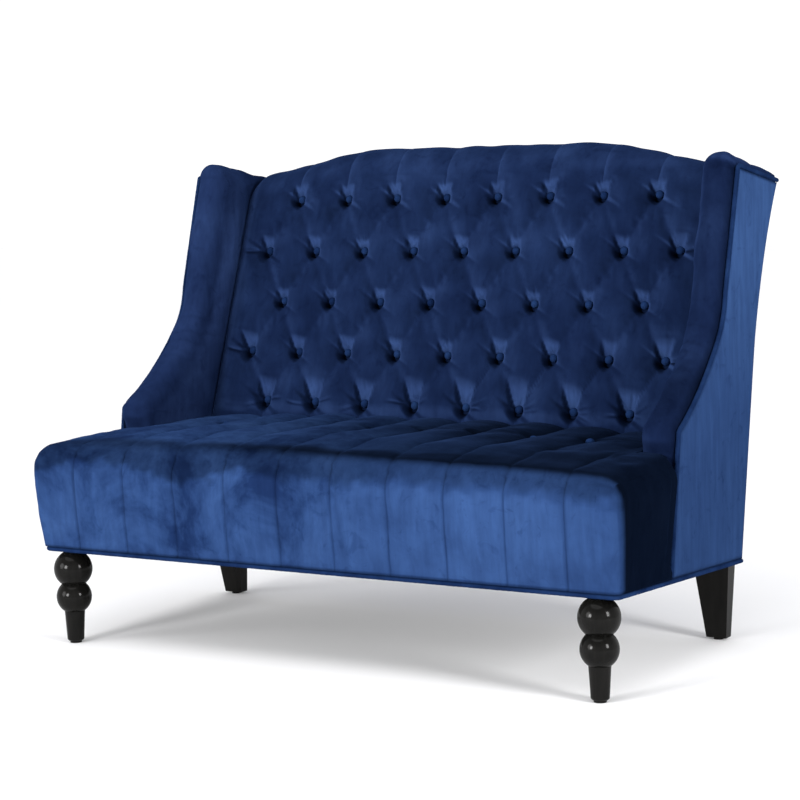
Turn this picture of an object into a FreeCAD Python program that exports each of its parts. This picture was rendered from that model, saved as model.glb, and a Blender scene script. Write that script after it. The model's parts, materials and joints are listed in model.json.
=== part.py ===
"""High-back wing settee: a tufted two-seat sofa on two turned and two tapered wooden legs.

Millimetres. X runs across the seat, Y from front to back, Z up from the floor. The shapes are drawn
with y = 0 at the foot of the wings, and export() moves them so that the origin is on the floor under
the middle of the whole settee. Each function returns {node name: shape}.
"""
import FreeCAD, Part
import math
import os
from FreeCAD import Vector

os.makedirs("parts", exist_ok=True)

# ---- Overall shape ----
half_width = 650.0          # middle to the outer face of a side panel
seat_swell = 20.0           # the seat box stands this much wider at its top edge, each side
base_front_y = -239.0       # lower front edge of the seat
base_front_z = 193.0        # underside at that edge
base_fall = 0.054           # the underside falls this much per millimetre towards the rear
front_lean = 13.0           # the seat front leans out this much by the top of the rails
rail_top_z = 322.0
pad_bottom_z = 332.5
seat_crown_z = 438.0
seat_shoulder_z = 382.0
side_thickness = 8.5        # covered board of the outer panels
board_thickness = 18.0      # wing boards
wing_thickness = 75.0       # outer face to the padded inner face
wing_roll = 30.0            # padding round the front and top edges of a wing
fit_gap = 0.5

# ---- Rear face, seen from the side ----
rear_foot_y = 358.0
rear_foot_z = 152.0
rear_rake = 0.176           # straight lower part, run over rise
rear_bend_z = 560.0         # the rear face curls backwards above this height
rear_curl_radius = 1000.0
frame_depth = 42.0          # rails and posts of the back, front to rear

# ---- Tufted face of the back ----
button_plane_y = 290.0      # depth of the button plane at button_plane_z
button_plane_z = 450.0
button_rake = 0.37
back_crown = 20.0           # the padding stands this far in front of the buttons
button_pitch = 124.5
button_rows = ((895.0, 8), (782.0, 9), (673.0, 8), (564.0, 9), (459.0, 8))
button_radius = 9.5
button_height = 9.0
button_dome = 6.5           # rise of the rounded face of a button
seat_button_y = 118.0
seat_button_z = 421.0
seat_button_count = 8
seat_button_pitch = 122.5

# ---- Crest of the back, seen from the front ----
crest_z = 999.0
crest_flat = 240.0          # half length of the level middle
crest_bend = 350.0          # the crest turns down until here
crest_radius = 550.0
crest_slope = 0.2           # then falls at this slope to the wings

# ---- Wing outline, seen from the side ----
wing_foot = (8.0, 187.0)
wing_tip = (49.0, 458.0)
wing_sweep = ((161.0, 533.0), (255.0, 628.0))
wing_turn = ((274.0, 664.0), (284.0, 705.0))
wing_peak = (354.0, 947.0)
wing_rear_z = 914.0

# ---- Legs ----
leg_x = 597.5
front_leg_y = -208.0
ball_low = (96.4, 36.3)     # centre height and radius of the lower ball
ball_high = (154.5, 39.6)
leg_toe_radius = 17.2
leg_collar_radius = 21.0
leg_spigot_radius = 15.0
glide_height = 4.5
rear_leg_x = 591.5
rear_leg_toe = (43.0, 25.0, 366.5)      # width, depth and middle y at the floor
rear_leg_head = (82.0, 38.0, 341.0)     # the same at the underside

# ---- Trim, plates and springs ----
welt_radius = 4.5
plate_size = 40.0
plate_thickness = 3.0
bolt_radius = 4.0
bolt_into_leg = 32.0
bolt_into_rail = 45.0
screw_radius = 1.9
screw_head_radius = 3.6
screw_head = 2.0
screw_length = 22.0
screw_offset = 15.0         # from the middle of a plate, across and along
spring_wire = 1.8
spring_count = 9
spring_pitch = 122.0
spring_turns = 19
spring_reach = 20.0         # half length of the straight bars of a spring
spring_z = 326.0

inner_x = half_width - side_thickness - board_thickness - fit_gap      # outer face of rails and posts
rail_width = 42.0
pad_inner_x = half_width - wing_thickness
post_width = inner_x - pad_inner_x - fit_gap / 2
strap_half = inner_x - 24.0          # webbing across the back reaches this far over the posts
rail_front_y = base_front_y + 11.0
draw_from_z = 100.0                  # frame members are drawn from here and cut off at the underside
seat_join = 10.0                     # the seat ends this far in front of the lower edge of the wings
big = 2000.0                         # longer than the whole settee


def underside(y, lift=0.0):
    """Height of the sloping underside at depth y, plus lift."""
    return base_front_z - base_fall * (y - base_front_y) + lift


def rear(z, inset=0.0):
    """Depth of the rear face at height z, less inset: a straight rake, then an arc tangent to it."""
    if z <= rear_bend_z:
        return rear_foot_y + rear_rake * (z - rear_foot_z) - inset
    bend_y = rear_foot_y + rear_rake * (rear_bend_z - rear_foot_z)
    level = rear_curl_radius / math.hypot(1.0, rear_rake)
    above_centre = z - rear_bend_z + level * rear_rake
    return bend_y + level - math.sqrt(rear_curl_radius ** 2 - above_centre ** 2) - inset


def tuft(z, forward=0.0):
    """Depth of the button plane of the back at height z, less forward."""
    return button_plane_y + button_rake * (z - button_plane_z) - forward


def wing_front(z, forward=0.0):
    """Depth of the straight lower front edge of a wing at height z, less forward."""
    slope = (wing_tip[0] - wing_foot[0]) / (wing_tip[1] - wing_foot[1])
    return wing_foot[0] + slope * (z - wing_foot[1]) - forward


def side_vector(point, x=0.0):
    return Vector(x, point[0], point[1])


def side_line(a, b):
    return Part.makeLine(side_vector(a), side_vector(b))


def side_arc(a, middle, b):
    return Part.Arc(side_vector(a), side_vector(middle), side_vector(b)).toShape()


def side_prism(edges, x0, x1):
    """Solid between x0 and x1 whose side view is the closed chain of edges."""
    wire = Part.Wire(Part.__sortEdges__(edges))
    face = Part.Face(wire)
    face.translate(Vector(x0, 0, 0))
    return face.extrude(Vector(x1 - x0, 0, 0))


def side_polygon(points, x0, x1):
    loop = list(points) + [points[0]]
    return side_prism([side_line(a, b) for a, b in zip(loop, loop[1:])], x0, x1)


def front_polygon(points, y0, y1):
    """Solid between y0 and y1 whose front view is the polygon of (x, z) points."""
    loop = [Vector(x, y0, z) for x, z in points]
    return Part.Face(Part.makePolygon(loop + [loop[0]])).extrude(Vector(0, y1 - y0, 0))


def box(x0, x1, y0, y1, z0, z1):
    return Part.makeBox(x1 - x0, y1 - y0, z1 - z0, Vector(x0, y0, z0))


def post(x, y, radius, z0, z1):
    return Part.makeCylinder(radius, z1 - z0, Vector(x, y, z0))


def mirrored(shape):
    return shape.mirror(Vector(0, 0, 0), Vector(1, 0, 0))


def pair(name, right):
    """The right-hand shape and its mirror image, as two nodes."""
    return {name + "_right": right, name + "_left": mirrored(right)}


def both_sides(shapes):
    return [s for right in shapes for s in (right, mirrored(right))]


def layer(low, high):
    """Everything between two lifts above the sloping underside."""
    ends = (-big, big)
    lower = [(y, underside(y, low)) for y in ends]
    upper = [(y, underside(y, high)) for y in reversed(ends)]
    return side_polygon(lower + upper, -big, big)


def rear_edges(inset, z0, z1):
    """Edges along the rear face from z0 up to z1, moved forward by inset."""
    edges = []
    turn = min(max(rear_bend_z, z0), z1)
    if turn > z0:
        edges.append(side_line((rear(z0, inset), z0), (rear(turn, inset), turn)))
    if z1 > turn:
        places = [(rear(z, inset), z) for z in (turn, (turn + z1) / 2, z1)]
        edges.append(side_arc(*places))
    return edges


def rear_strip(x0, x1, near, far, z0, z1):
    """Slab between two insets from the rear face, following its curve."""
    edges = rear_edges(near, z0, z1) + rear_edges(far, z0, z1)
    edges.append(side_line((rear(z0, near), z0), (rear(z0, far), z0)))
    edges.append(side_line((rear(z1, near), z1), (rear(z1, far), z1)))
    return side_prism(edges, x0, x1)


def crest_region(drop, half):
    """Everything under the crest line lowered by drop, between -half and half."""
    def at(x):
        past = abs(x) - crest_flat
        if past <= 0:
            return crest_z - drop
        if abs(x) <= crest_bend:
            return crest_z - drop - past ** 2 / (2 * crest_radius)
        full = (crest_bend - crest_flat) ** 2 / (2 * crest_radius)
        return crest_z - drop - full - crest_slope * (abs(x) - crest_bend)

    def point(x):
        return Vector(x, 0, at(x))

    middle = (crest_flat + crest_bend) / 2
    edges = [
        Part.makeLine(point(-crest_flat), point(crest_flat)),
        Part.Arc(point(crest_flat), point(middle), point(crest_bend)).toShape(),
        Part.Arc(point(-crest_flat), point(-middle), point(-crest_bend)).toShape(),
        Part.makeLine(point(crest_bend), point(half)),
        Part.makeLine(point(-crest_bend), point(-half)),
        Part.makeLine(point(half), Vector(half, 0, 0)),
        Part.makeLine(point(-half), Vector(-half, 0, 0)),
        Part.makeLine(Vector(-half, 0, 0), Vector(half, 0, 0)),
    ]
    face = Part.Face(Part.Wire(Part.__sortEdges__(edges)))
    return face.extrude(Vector(0, big, 0))


# ---- Legs and what holds them ----

leg_overlap = 30.0                   # legs are drawn this far above the underside, then cut off
leg_centres = ((leg_x, front_leg_y), (rear_leg_x, rear_leg_head[2] - 8))
bolt_centres = ((leg_x, front_leg_y), (rear_leg_x, rear_leg_head[2]))
glide_places = ((leg_x, front_leg_y, 12.0), (rear_leg_x, rear_leg_toe[2], 10.0))
plate_low = 6.5                      # lift of the plates above the underside
plate_high = plate_low + plate_thickness
frame_lift = plate_high + 0.2        # the rails stand this far above the underside


def turned_leg():
    """Front leg: a tapered toe, a small collar and two balls that run into each other."""
    low_z, low_r = ball_low
    high_z, high_r = ball_high
    apart = high_z - low_z
    neck = (apart ** 2 + low_r ** 2 - high_r ** 2) / (2 * apart)
    neck_r = math.sqrt(low_r ** 2 - neck ** 2)
    collar_z = low_z - math.sqrt(low_r ** 2 - leg_collar_radius ** 2)
    spigot_z = high_z + math.sqrt(high_r ** 2 - leg_spigot_radius ** 2)
    toe_round = 2.5
    collar_band = 7.0
    collar_flare = 0.6

    def at(radius, z):
        return Vector(radius, 0, z)

    toe_inner = at(leg_toe_radius - toe_round, glide_height)
    toe_outer = at(leg_toe_radius, glide_height + toe_round)
    collar_low = at(leg_collar_radius - collar_flare, collar_z - collar_band)
    collar_high = at(leg_collar_radius, collar_z)
    neck_ring = at(neck_r, low_z + neck)
    spigot_low = at(leg_spigot_radius, spigot_z)
    spigot_high = at(leg_spigot_radius, underside(front_leg_y, leg_overlap))
    axis_low = at(0, glide_height)
    axis_high = at(0, underside(front_leg_y, leg_overlap))
    edges = [
        Part.makeLine(axis_low, toe_inner),
        Part.makeLine(toe_inner, toe_outer),
        Part.makeLine(toe_outer, collar_low),
        Part.makeLine(collar_low, collar_high),
        Part.Arc(collar_high, at(low_r, low_z), neck_ring).toShape(),
        Part.Arc(neck_ring, at(high_r, high_z), spigot_low).toShape(),
        Part.makeLine(spigot_low, spigot_high),
        Part.makeLine(spigot_high, axis_high),
        Part.makeLine(axis_high, axis_low),
    ]
    leg = Part.Face(Part.Wire(edges)).revolve(Vector(0, 0, 0), Vector(0, 0, 1), 360)
    leg.translate(Vector(leg_x, front_leg_y, 0))
    return leg


def tapered_leg():
    """Rear leg: flat, tapered on all four faces and kicked backwards."""
    def ring(size, z):
        width, depth, middle = size
        corners = ((-1, -1), (1, -1), (1, 1), (-1, 1))
        points = [Vector(rear_leg_x + i * width / 2, middle + j * depth / 2, z) for i, j in corners]
        return Part.makePolygon(points + [points[0]])

    head_z = underside(rear_leg_head[2], leg_overlap)
    return Part.makeLoft([ring(rear_leg_toe, glide_height), ring(rear_leg_head, head_z)], True, True)


def screw_places():
    return [
        (x + i * screw_offset, y + j * screw_offset)
        for x, y in leg_centres
        for i in (-1, 1)
        for j in (-1, 1)
    ]


def plate_screw(x, y):
    """Countersunk plate screw, its head just below the plate."""
    head_z = underside(y, plate_low) - screw_head - 0.6
    shank_z = head_z + screw_head
    head = post(x, y, screw_head_radius, head_z, shank_z)
    return head.fuse(post(x, y, screw_radius, shank_z, head_z + screw_length))


def leg_set():
    """Four legs, their glides, hanger bolts, plates and plate screws."""
    under = layer(-big, plate_low - 0.3)
    front = turned_leg().common(under)
    back = tapered_leg().common(under)
    glides = [post(x, y, radius, 0, glide_height - 0.1) for x, y, radius in glide_places]

    bolts = []
    for x, y in bolt_centres:
        top = underside(y, plate_low)
        bolts.append(post(x, y, bolt_radius, top - bolt_into_leg, top + bolt_into_rail))
        hole = post(x, y, bolt_radius + 0.3, top - bolt_into_leg - 2, big)
        front = front.cut(hole)
        back = back.cut(hole)

    half = plate_size / 2
    plates = []
    for x, y in leg_centres:
        plate = box(x - half, x + half, y - half, y + half, 0, big)
        plates.append(plate.common(layer(plate_low, plate_high)))
    for x, y in bolt_centres:
        plates = [p.cut(post(x, y, bolt_radius + 0.5, 0, big)) for p in plates]

    screws = []
    for x, y in screw_places():
        screw = plate_screw(x, y)
        screws.append(screw)
        plates = [p.cut(post(x, y, screw_radius + 0.4, 0, big)) for p in plates]
        back = back.cut(post(x, y, screw_head_radius + 0.8, screw.BoundBox.ZMin - 1, big))

    nodes = pair("front_leg", front)
    nodes.update(pair("rear_leg", back))
    nodes["leg_glides"] = both_sides(glides)
    nodes["leg_plates"] = both_sides(plates)
    nodes["hanger_bolts"] = both_sides(bolts)
    nodes["leg_plate_screws"] = both_sides(screws)
    return nodes


# ---- Wooden frame ----

def fastener_holes():
    """Clearance for the bolts and screws that run up into the rails, both sides."""
    bolt_end = plate_low + bolt_into_rail + 2
    screw_end = plate_low + screw_length
    holes = [post(x, y, bolt_radius + 0.3, 0, underside(y, bolt_end)) for x, y in bolt_centres]
    holes += [post(x, y, screw_radius + 0.2, 0, underside(y, screw_end)) for x, y in screw_places()]
    return both_sides(holes)


def rail_along(top, x0, x1):
    """Member that runs from the front rail to the rear rail, up to height top."""
    far = side_thickness + 2 * fit_gap + frame_depth
    start = rail_front_y + frame_depth + fit_gap
    foot = (rear(draw_from_z, far), draw_from_z)
    return side_polygon([(start, draw_from_z), foot, (rear(top, far), top), (start, top)], x0, x1)


def frame_rails():
    """Base rails, braces and corner blocks."""
    near = side_thickness + fit_gap
    far = near + frame_depth
    rail_rear_y = rail_front_y + frame_depth
    behind_half = inner_x - post_width - fit_gap
    brace_top = 286.0
    brace_x = (185.0, 215.0)
    front = box(-inner_x, inner_x, rail_front_y, rail_rear_y, 0, rail_top_z)
    behind = rear_strip(-behind_half, behind_half, near, far, draw_from_z, rail_top_z)
    side = rail_along(rail_top_z, inner_x - rail_width, inner_x)
    brace = rail_along(brace_top, *brace_x)

    block_side = 95.0
    block_height = 50.0
    block_x = inner_x - rail_width - fit_gap
    front_y = rail_rear_y + fit_gap
    back_y = rear(underside(rear_foot_y, frame_lift), far + fit_gap)
    blocks = []
    for y, step in ((front_y, block_side), (back_y, -block_side)):
        corner = [
            Vector(block_x, y, draw_from_z),
            Vector(block_x - block_side, y, draw_from_z),
            Vector(block_x, y + step, draw_from_z),
        ]
        wedge = Part.Face(Part.makePolygon(corner + [corner[0]])).extrude(Vector(0, 0, big))
        blocks.append(wedge.common(layer(frame_lift, frame_lift + block_height)))

    above = layer(frame_lift, big)
    front, behind, side, brace = [s.common(above) for s in (front, behind, side, brace)]
    for hole in fastener_holes():
        front = front.cut(hole)
        behind = behind.cut(hole)
        side = side.cut(hole)
        blocks = [b.cut(hole) for b in blocks]
    nodes = {"front_rail": front, "rear_rail": behind, "seat_braces": both_sides([brace])}
    nodes.update(pair("side_rail", side))
    nodes["corner_blocks"] = both_sides(blocks)
    return nodes


top_rail_drop = 28.0                 # the crest rail lies this far under the top of the padding
top_rail_z = 868.0
lower_rail_z = (430.0, 490.0)
post_drop = 14.0                     # posts end this far under the rear of the wing tops
stile_half = 30.0


def frame_back():
    """Raked posts, crest rail, lower rail and middle stile of the back."""
    near = side_thickness + fit_gap
    far = near + frame_depth
    post_x = (inner_x - post_width, inner_x)
    inside = post_x[0] - fit_gap
    side_post = rear_strip(*post_x, near, far, draw_from_z, wing_rear_z - post_drop)
    side_post = side_post.common(layer(frame_lift, big))
    for hole in fastener_holes():
        side_post = side_post.cut(hole)
    crest = crest_region(top_rail_drop, inside)
    top = rear_strip(-inside, inside, near, far, top_rail_z, crest_z).common(crest)
    lower = rear_strip(-inside, inside, near, far, *lower_rail_z)
    stile_z = (lower_rail_z[1] + fit_gap, top_rail_z - fit_gap)
    stile = rear_strip(-stile_half, stile_half, near, far, *stile_z)
    nodes = {"crest_rail": top, "lower_back_rail": lower, "back_stile": stile}
    nodes.update(pair("back_post", side_post))
    return nodes


# ---- Wings ----

def wing_outline():
    """Side view of a wing's outer panel: foot, S-shaped front edge, sloping top and raked rear."""
    rear_top = (rear(wing_rear_z), wing_rear_z)
    low_front = (wing_front(underside(0)), underside(0))
    low_rear = (rear(underside(rear_foot_y)), underside(rear_foot_y))
    edges = [
        side_line(low_front, wing_tip),
        side_arc(wing_tip, wing_sweep[0], wing_sweep[1]),
        side_arc(wing_sweep[1], wing_turn[0], wing_turn[1]),
        side_line(wing_turn[1], wing_peak),
        side_line(wing_peak, rear_top),
        side_line(low_rear, low_front),
    ]
    return edges + rear_edges(0, low_rear[1], wing_rear_z)


def wing_region(offset, x0, x1):
    """Solid of the wing outline grown by offset (negative to shrink), between x0 and x1."""
    face = Part.Face(Part.Wire(Part.__sortEdges__(wing_outline())))
    if offset:
        face = face.makeOffset2D(offset)
    if face.ShapeType == "Wire":
        face = Part.Face(face)
    face.translate(Vector(x0, 0, 0))
    return face.extrude(Vector(x1 - x0, 0, 0))


def rounded_wing(x0, x1):
    """The padded wing: the outline grown by the roll, with both its long edges rounded over."""
    block = wing_region(wing_roll, x0, x1)
    keep = []
    for edge in block.Edges:
        b = edge.BoundBox
        lengthwise = b.XMax - b.XMin < 0.01
        front = b.YMax < rear(rear_bend_z) - wing_roll
        top = b.ZMin > wing_rear_z
        if lengthwise and (front or top):
            keep.append(edge)
    return block.makeFillet(wing_roll - 1, keep)


def wing_pad(board_x):
    """Padding of a wing, hollowed for its board, the back post and the webbing, and cut over the seat."""
    panel_x = half_width - side_thickness
    pocket = wing_region(1 - board_shrink, board_x - 0.3, half_width + 1)
    pad = rounded_wing(pad_inner_x, panel_x).cut(pocket)
    low = pad_bottom_z + 1
    corners = [(rear(crest_z, fit_gap), crest_z), (-big, crest_z), (-big, low), (rear(low, fit_gap), low)]
    limit = rear_edges(fit_gap, low, crest_z) + [side_line(a, b) for a, b in zip(corners, corners[1:])]
    pad = pad.common(side_prism(limit, 0, big))
    seat_side = 424.0                # the roll in front of the straight edge starts above the seat
    forward = seat_join - 0.6
    edge = [(wing_front(0, forward), 0), (wing_front(seat_side, forward), seat_side)]
    pad = pad.cut(side_polygon([(-big, 0)] + edge + [(-big, seat_side)], 0, big))
    far = side_thickness + fit_gap + frame_depth
    strap_top = 840.0
    strap_room = 6.0
    pad = pad.cut(rear_strip(0, strap_half + 1, -big, far + strap_room, draw_from_z, strap_top))
    post_room = rear_strip(0, inner_x + 0.2, -big, far + fit_gap, draw_from_z, wing_rear_z - post_drop + 1)
    return pad.cut(post_room)


board_shrink = 8.0                   # the wing boards stay this far inside the outline


def wing_set():
    """Outer panel, board, padding and welt of each wing."""
    panel_x = half_width - side_thickness
    board_x = panel_x - board_thickness - fit_gap / 2
    above = layer(frame_lift, big)
    near = side_thickness + fit_gap
    behind = rear_strip(0, big, -big, near, draw_from_z, wing_rear_z - post_drop + 1)
    panel = wing_region(0, panel_x + 0.3, half_width).common(above)
    board = wing_region(-board_shrink, board_x, panel_x - 0.1).common(above).cut(behind)
    pad = wing_pad(board_x).cut(behind)

    outline = Part.Face(Part.Wire(Part.__sortEdges__(wing_outline())))
    path = outline.makeOffset2D(welt_radius + 0.4)
    wire = Part.Wire(Part.__sortEdges__([e for e in path.Edges if keeps_welt(e)]))
    wire.translate(Vector(half_width - welt_radius + 0.6, 0, 0))
    welt = welt_along(wire).common(layer(2 * welt_radius + 1.5, big))

    nodes = pair("wing_panel", panel)
    nodes.update(pair("wing_board", board))
    nodes.update(pair("wing_pad", largest(pad)))
    nodes.update(pair("wing_welt", welt))
    return nodes


def keeps_welt(edge):
    """True on the front and top edges of the wing outline, where its welt runs."""
    b = edge.BoundBox
    along_rear = b.YMax > rear(wing_rear_z) + welt_radius / 2 and b.ZMax < wing_rear_z
    mid = edge.valueAt((edge.FirstParameter + edge.LastParameter) / 2)
    behind = mid.y > rear(min(mid.z, wing_rear_z)) + 1
    below = mid.z < underside(mid.y)
    return not (along_rear or behind or below)


def welt_along(wire):
    """Round welt cord swept along wire."""
    start = wire.OrderedVertexes[0].Point
    first = wire.OrderedEdges[0]
    tangent = first.tangentAt(first.FirstParameter)
    if (first.valueAt(first.FirstParameter) - start).Length > 0.01:
        tangent = first.tangentAt(first.LastParameter) * -1
    ring = Part.Wire(Part.makeCircle(welt_radius, start, tangent))
    return wire.makePipeShell([ring], True, True, 2)


def largest(shape):
    return max(shape.Solids, key=lambda s: s.Volume)


# ---- Back padding, buttons and outer panel ----

def button_places():
    return [
        (button_pitch * (i - (count - 1) / 2), z)
        for z, count in button_rows
        for i in range(count)
    ]


def on_tufts(shape_at_origin, x, z, forward=0.0):
    """Turn a shape drawn along -Y so that it stands square to the button plane at (x, z)."""
    placed = shape_at_origin.copy()
    angle = math.degrees(math.atan(button_rake))
    placed.rotate(Vector(0, 0, 0), Vector(1, 0, 0), -angle)
    placed.translate(Vector(x, tuft(z, forward), z))
    return placed


def button():
    """Domed covered button, its base at the origin and its face towards -Y."""
    dome_radius = (button_radius ** 2 + button_dome ** 2) / (2 * button_dome)
    drum = Part.makeCylinder(button_radius, button_height, Vector(0, 0, 0), Vector(0, -1, 0))
    return drum.common(Part.makeSphere(dome_radius, Vector(0, dome_radius - button_height, 0)))


web_thickness = 2.0
web_half = 25.0
web_heights = (540.0, 625.0, 710.0, 795.0)
web_columns = (95.0, 280.0, 470.0)   # on each side of the middle
pad_rear_inset = side_thickness + fit_gap + frame_depth + 2 * web_thickness + 1.2
pad_rear_top = 958.0                 # the padding wraps over the crest rail down to here


def back_pad_shape():
    """Padding of the back before tufting: flat face, rolled top, and the hollow for the frame."""
    half = pad_inner_x - 2
    low = pad_bottom_z + 2
    straight_top = 945.0
    crest_y = 527.0
    face_y = tuft(straight_top, back_crown)
    nose = (face_y, straight_top)
    peak = (crest_y, crest_z)
    front_foot = (tuft(low, back_crown), low)
    edges = [
        side_line(front_foot, nose),
        side_arc(nose, (face_y + 22, crest_z - 14), peak),
        side_arc(peak, (crest_y + 46, crest_z - 11), (rear(pad_rear_top), pad_rear_top)),
        side_line(front_foot, (rear(low), low)),
    ]
    edges += rear_edges(0, low, pad_rear_top)
    pad = side_prism(edges, -half, half).common(crest_region(0, half))
    cavity = rear_strip(-big, big, -big, pad_rear_inset, draw_from_z, crest_z + 200)
    return pad.cut(cavity.common(crest_region(top_rail_drop - 1, big)))


def back_set():
    """Tufted padding, its buttons and ties, webbing and the covered outer back."""
    pit_wall = 3.0                   # room round a button at the bottom of its pit
    pit_flare = 21.0
    pit_depth = back_crown + 6
    dimple = Part.makeCone(button_radius + pit_wall, button_radius + pit_flare, pit_depth,
                           Vector(0, 0, 0), Vector(0, -1, 0))
    tie_radius = 1.0
    button_gap = 1.2
    buttons = []
    ties = []
    cutters = []
    for x, z in button_places():
        cutters.append(on_tufts(dimple, x, z))
        cutters.append(Part.makeCylinder(2.2, 160, Vector(x, tuft(z) - 1, z), Vector(0, 1, 0)))
        buttons.append(on_tufts(button(), x, z, button_gap))
        start_y = tuft(z) + button_gap
        length = rear(z, pad_rear_inset + 0.4) - start_y
        ties.append(Part.makeCylinder(tie_radius, length, Vector(x, start_y, z), Vector(0, 1, 0)))
    pad = back_pad_shape().cut(Part.makeCompound(cutters))

    near = side_thickness + fit_gap + frame_depth + 0.2
    middle = near + web_thickness + 0.2
    across = [
        rear_strip(-strap_half, strap_half, near, near + web_thickness, z - web_half, z + web_half)
        for z in web_heights
    ]
    web_ends = (lower_rail_z[0] + 10, top_rail_z + 40)
    upright = [
        rear_strip(side * x - web_half, side * x + web_half, middle, middle + web_thickness, *web_ends)
        for side in (-1, 1)
        for x in web_columns
    ]
    panel_half = half_width - side_thickness - 2 * fit_gap
    low_panel = box(-half_width, half_width, 0, big, 0, wing_rear_z - post_drop)
    region = low_panel.fuse(crest_region(top_rail_drop + 2, pad_inner_x - 1))
    panel = rear_strip(-panel_half, panel_half, 0, side_thickness, draw_from_z, pad_rear_top)
    panel = panel.common(region).common(layer(frame_lift, big))
    return {
        "back_pad": largest(pad),
        "back_buttons": buttons,
        "button_ties": ties,
        "webbing_across": across,
        "webbing_upright": upright,
        "back_panel": panel,
    }


# ---- Seat ----

def seat_half_width(z):
    """Half width of the seat box at height z: it widens towards its top edge."""
    share = (z - base_front_z) / (seat_shoulder_z - base_front_z)
    return half_width + seat_swell * min(1.0, share)


def seat_pad_shape():
    """Tight seat padding: a broad crown, rounded front and side shoulders, narrower between the wings."""
    low = pad_bottom_z
    front_z = 380.0
    front_y = base_front_y - front_lean - 3
    crown_y = (-40.0, 110.0, 200.0)  # front, middle and rear of the crown
    rear_top = seat_crown_z - 10
    gap = back_crown + 1
    foot = (base_front_y - front_lean, low)
    nose = (front_y, front_z)
    brow = (front_y + 50, front_z + 43)
    crown = (crown_y[1], seat_crown_z - 1)
    heel = (tuft(rear_top, gap), rear_top)
    under_heel = (tuft(low, gap), low)
    side_edges = [
        side_line(foot, nose),
        side_arc(nose, (front_y + 12, front_z + 28), brow),
        side_arc(brow, (crown_y[0], seat_crown_z - 1), crown),
        side_arc(crown, (crown_y[2], seat_crown_z - 3), heel),
        side_line(heel, under_heel),
        side_line(under_heel, foot),
    ]
    body = side_prism(side_edges, -big, big)

    def at(x, z):
        return Vector(x, -big, z)

    widest = half_width + seat_swell
    bottom = at(seat_half_width(low), low)
    hip = at(widest, 370)
    shoulder = at(596, 416)
    flat_end = at(240, seat_crown_z)
    right = [
        Part.makeLine(bottom, hip),
        Part.Arc(hip, at(half_width + 2, 401), shoulder).toShape(),
        Part.Arc(shoulder, at(440, 431), flat_end).toShape(),
    ]
    left = [mirrored(e) for e in right]
    ends = [
        Part.makeLine(flat_end, at(-flat_end.x, seat_crown_z)),
        Part.makeLine(at(-bottom.x, low), bottom),
    ]
    face = Part.Face(Part.Wire(Part.__sortEdges__(right + left + ends)))
    body = body.common(face.extrude(Vector(0, 2 * big, 0)))
    over = seat_crown_z + 100
    split = [(wing_front(0, seat_join), 0), (big, 0), (big, over), (wing_front(over, seat_join), over)]
    for x0, x1 in ((pad_inner_x - 2, big), (-big, -pad_inner_x + 2)):
        body = body.cut(side_polygon(split, x0, x1))
    return body


def seat_set():
    """Seat padding, its border bands, buttons, springs, clips and deck."""
    pit_depth = 24.0
    pit_wall = 3.0
    pit_flare = 20.0
    buttons = []
    cutters = []
    for i in range(seat_button_count):
        x = seat_button_pitch * (i - (seat_button_count - 1) / 2)
        knob = button()
        knob.rotate(Vector(0, 0, 0), Vector(1, 0, 0), -90)
        knob.translate(Vector(x, seat_button_y, seat_button_z + 0.5))
        buttons.append(knob)
        foot = Vector(x, seat_button_y, seat_button_z)
        cutters.append(Part.makeCone(button_radius + pit_wall, button_radius + pit_flare, pit_depth, foot))
    pad = seat_pad_shape().cut(Part.makeCompound(cutters))

    above = layer(frame_lift, big)
    band_top = pad_bottom_z - 0.5
    band_foot = base_front_z - 40
    right_wall = [
        (half_width - 1, band_foot),
        (half_width, base_front_z),
        (seat_half_width(band_top), band_top),
    ]
    left_wall = [(-x, z) for x, z in reversed(right_wall)]
    outer = front_polygon(right_wall + left_wall, -big, big)
    inner_y = rail_front_y - 0.3
    front_wall = [
        (inner_y, band_foot),
        (base_front_y, band_foot),
        (base_front_y, base_front_z),
        (base_front_y - front_lean, band_top),
        (inner_y, band_top),
    ]
    front = side_polygon(front_wall, -big, big).common(outer).common(above)
    side_wall = [
        (rail_front_y, band_foot),
        (wing_front(band_foot, seat_join), band_foot),
        (wing_front(band_top, seat_join), band_top),
        (rail_front_y, band_top),
    ]
    side = side_polygon(side_wall, inner_x + 0.3, big).common(outer).common(above)
    nodes = {"seat_pad": largest(pad), "seat_buttons": buttons, "seat_front_band": front}
    nodes.update(pair("seat_side_band", side))

    far = side_thickness + fit_gap + frame_depth
    deck_rear = rear(rail_top_z, far - 20)
    deck_x = inner_x - 6
    deck_z = (spring_z + spring_wire + 0.8, pad_bottom_z - 0.6)
    deck = box(-deck_x, deck_x, rail_front_y + 3, deck_rear, *deck_z)
    post_room = rear_strip(inner_x - post_width - 1, big, -big, far + 1, draw_from_z, seat_crown_z)
    nodes["seat_deck"] = deck.cut(Part.makeCompound(both_sides([post_room])))
    nodes.update(spring_set(rail_front_y + 16, rear(rail_top_z, far - 14)))
    return nodes


def spring_path(x, y0, y1):
    """Centreline of one zigzag spring: level bars across X joined by half circles."""
    radius = (y1 - y0) / (2 * spring_turns)
    edges = []
    for i in range(spring_turns + 1):
        y = y0 + 2 * radius * i
        bar_ends = (Vector(x - spring_reach, y, spring_z), Vector(x + spring_reach, y, spring_z))
        edges.append(Part.makeLine(*bar_ends))
        if i < spring_turns:
            side = 1 if i % 2 == 0 else -1
            start = Vector(x + side * spring_reach, y, spring_z)
            middle = Vector(x + side * (spring_reach + radius), y + radius, spring_z)
            end = Vector(x + side * spring_reach, y + 2 * radius, spring_z)
            edges.append(Part.Arc(start, middle, end).toShape())
    return Part.Wire(Part.__sortEdges__(edges))


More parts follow.
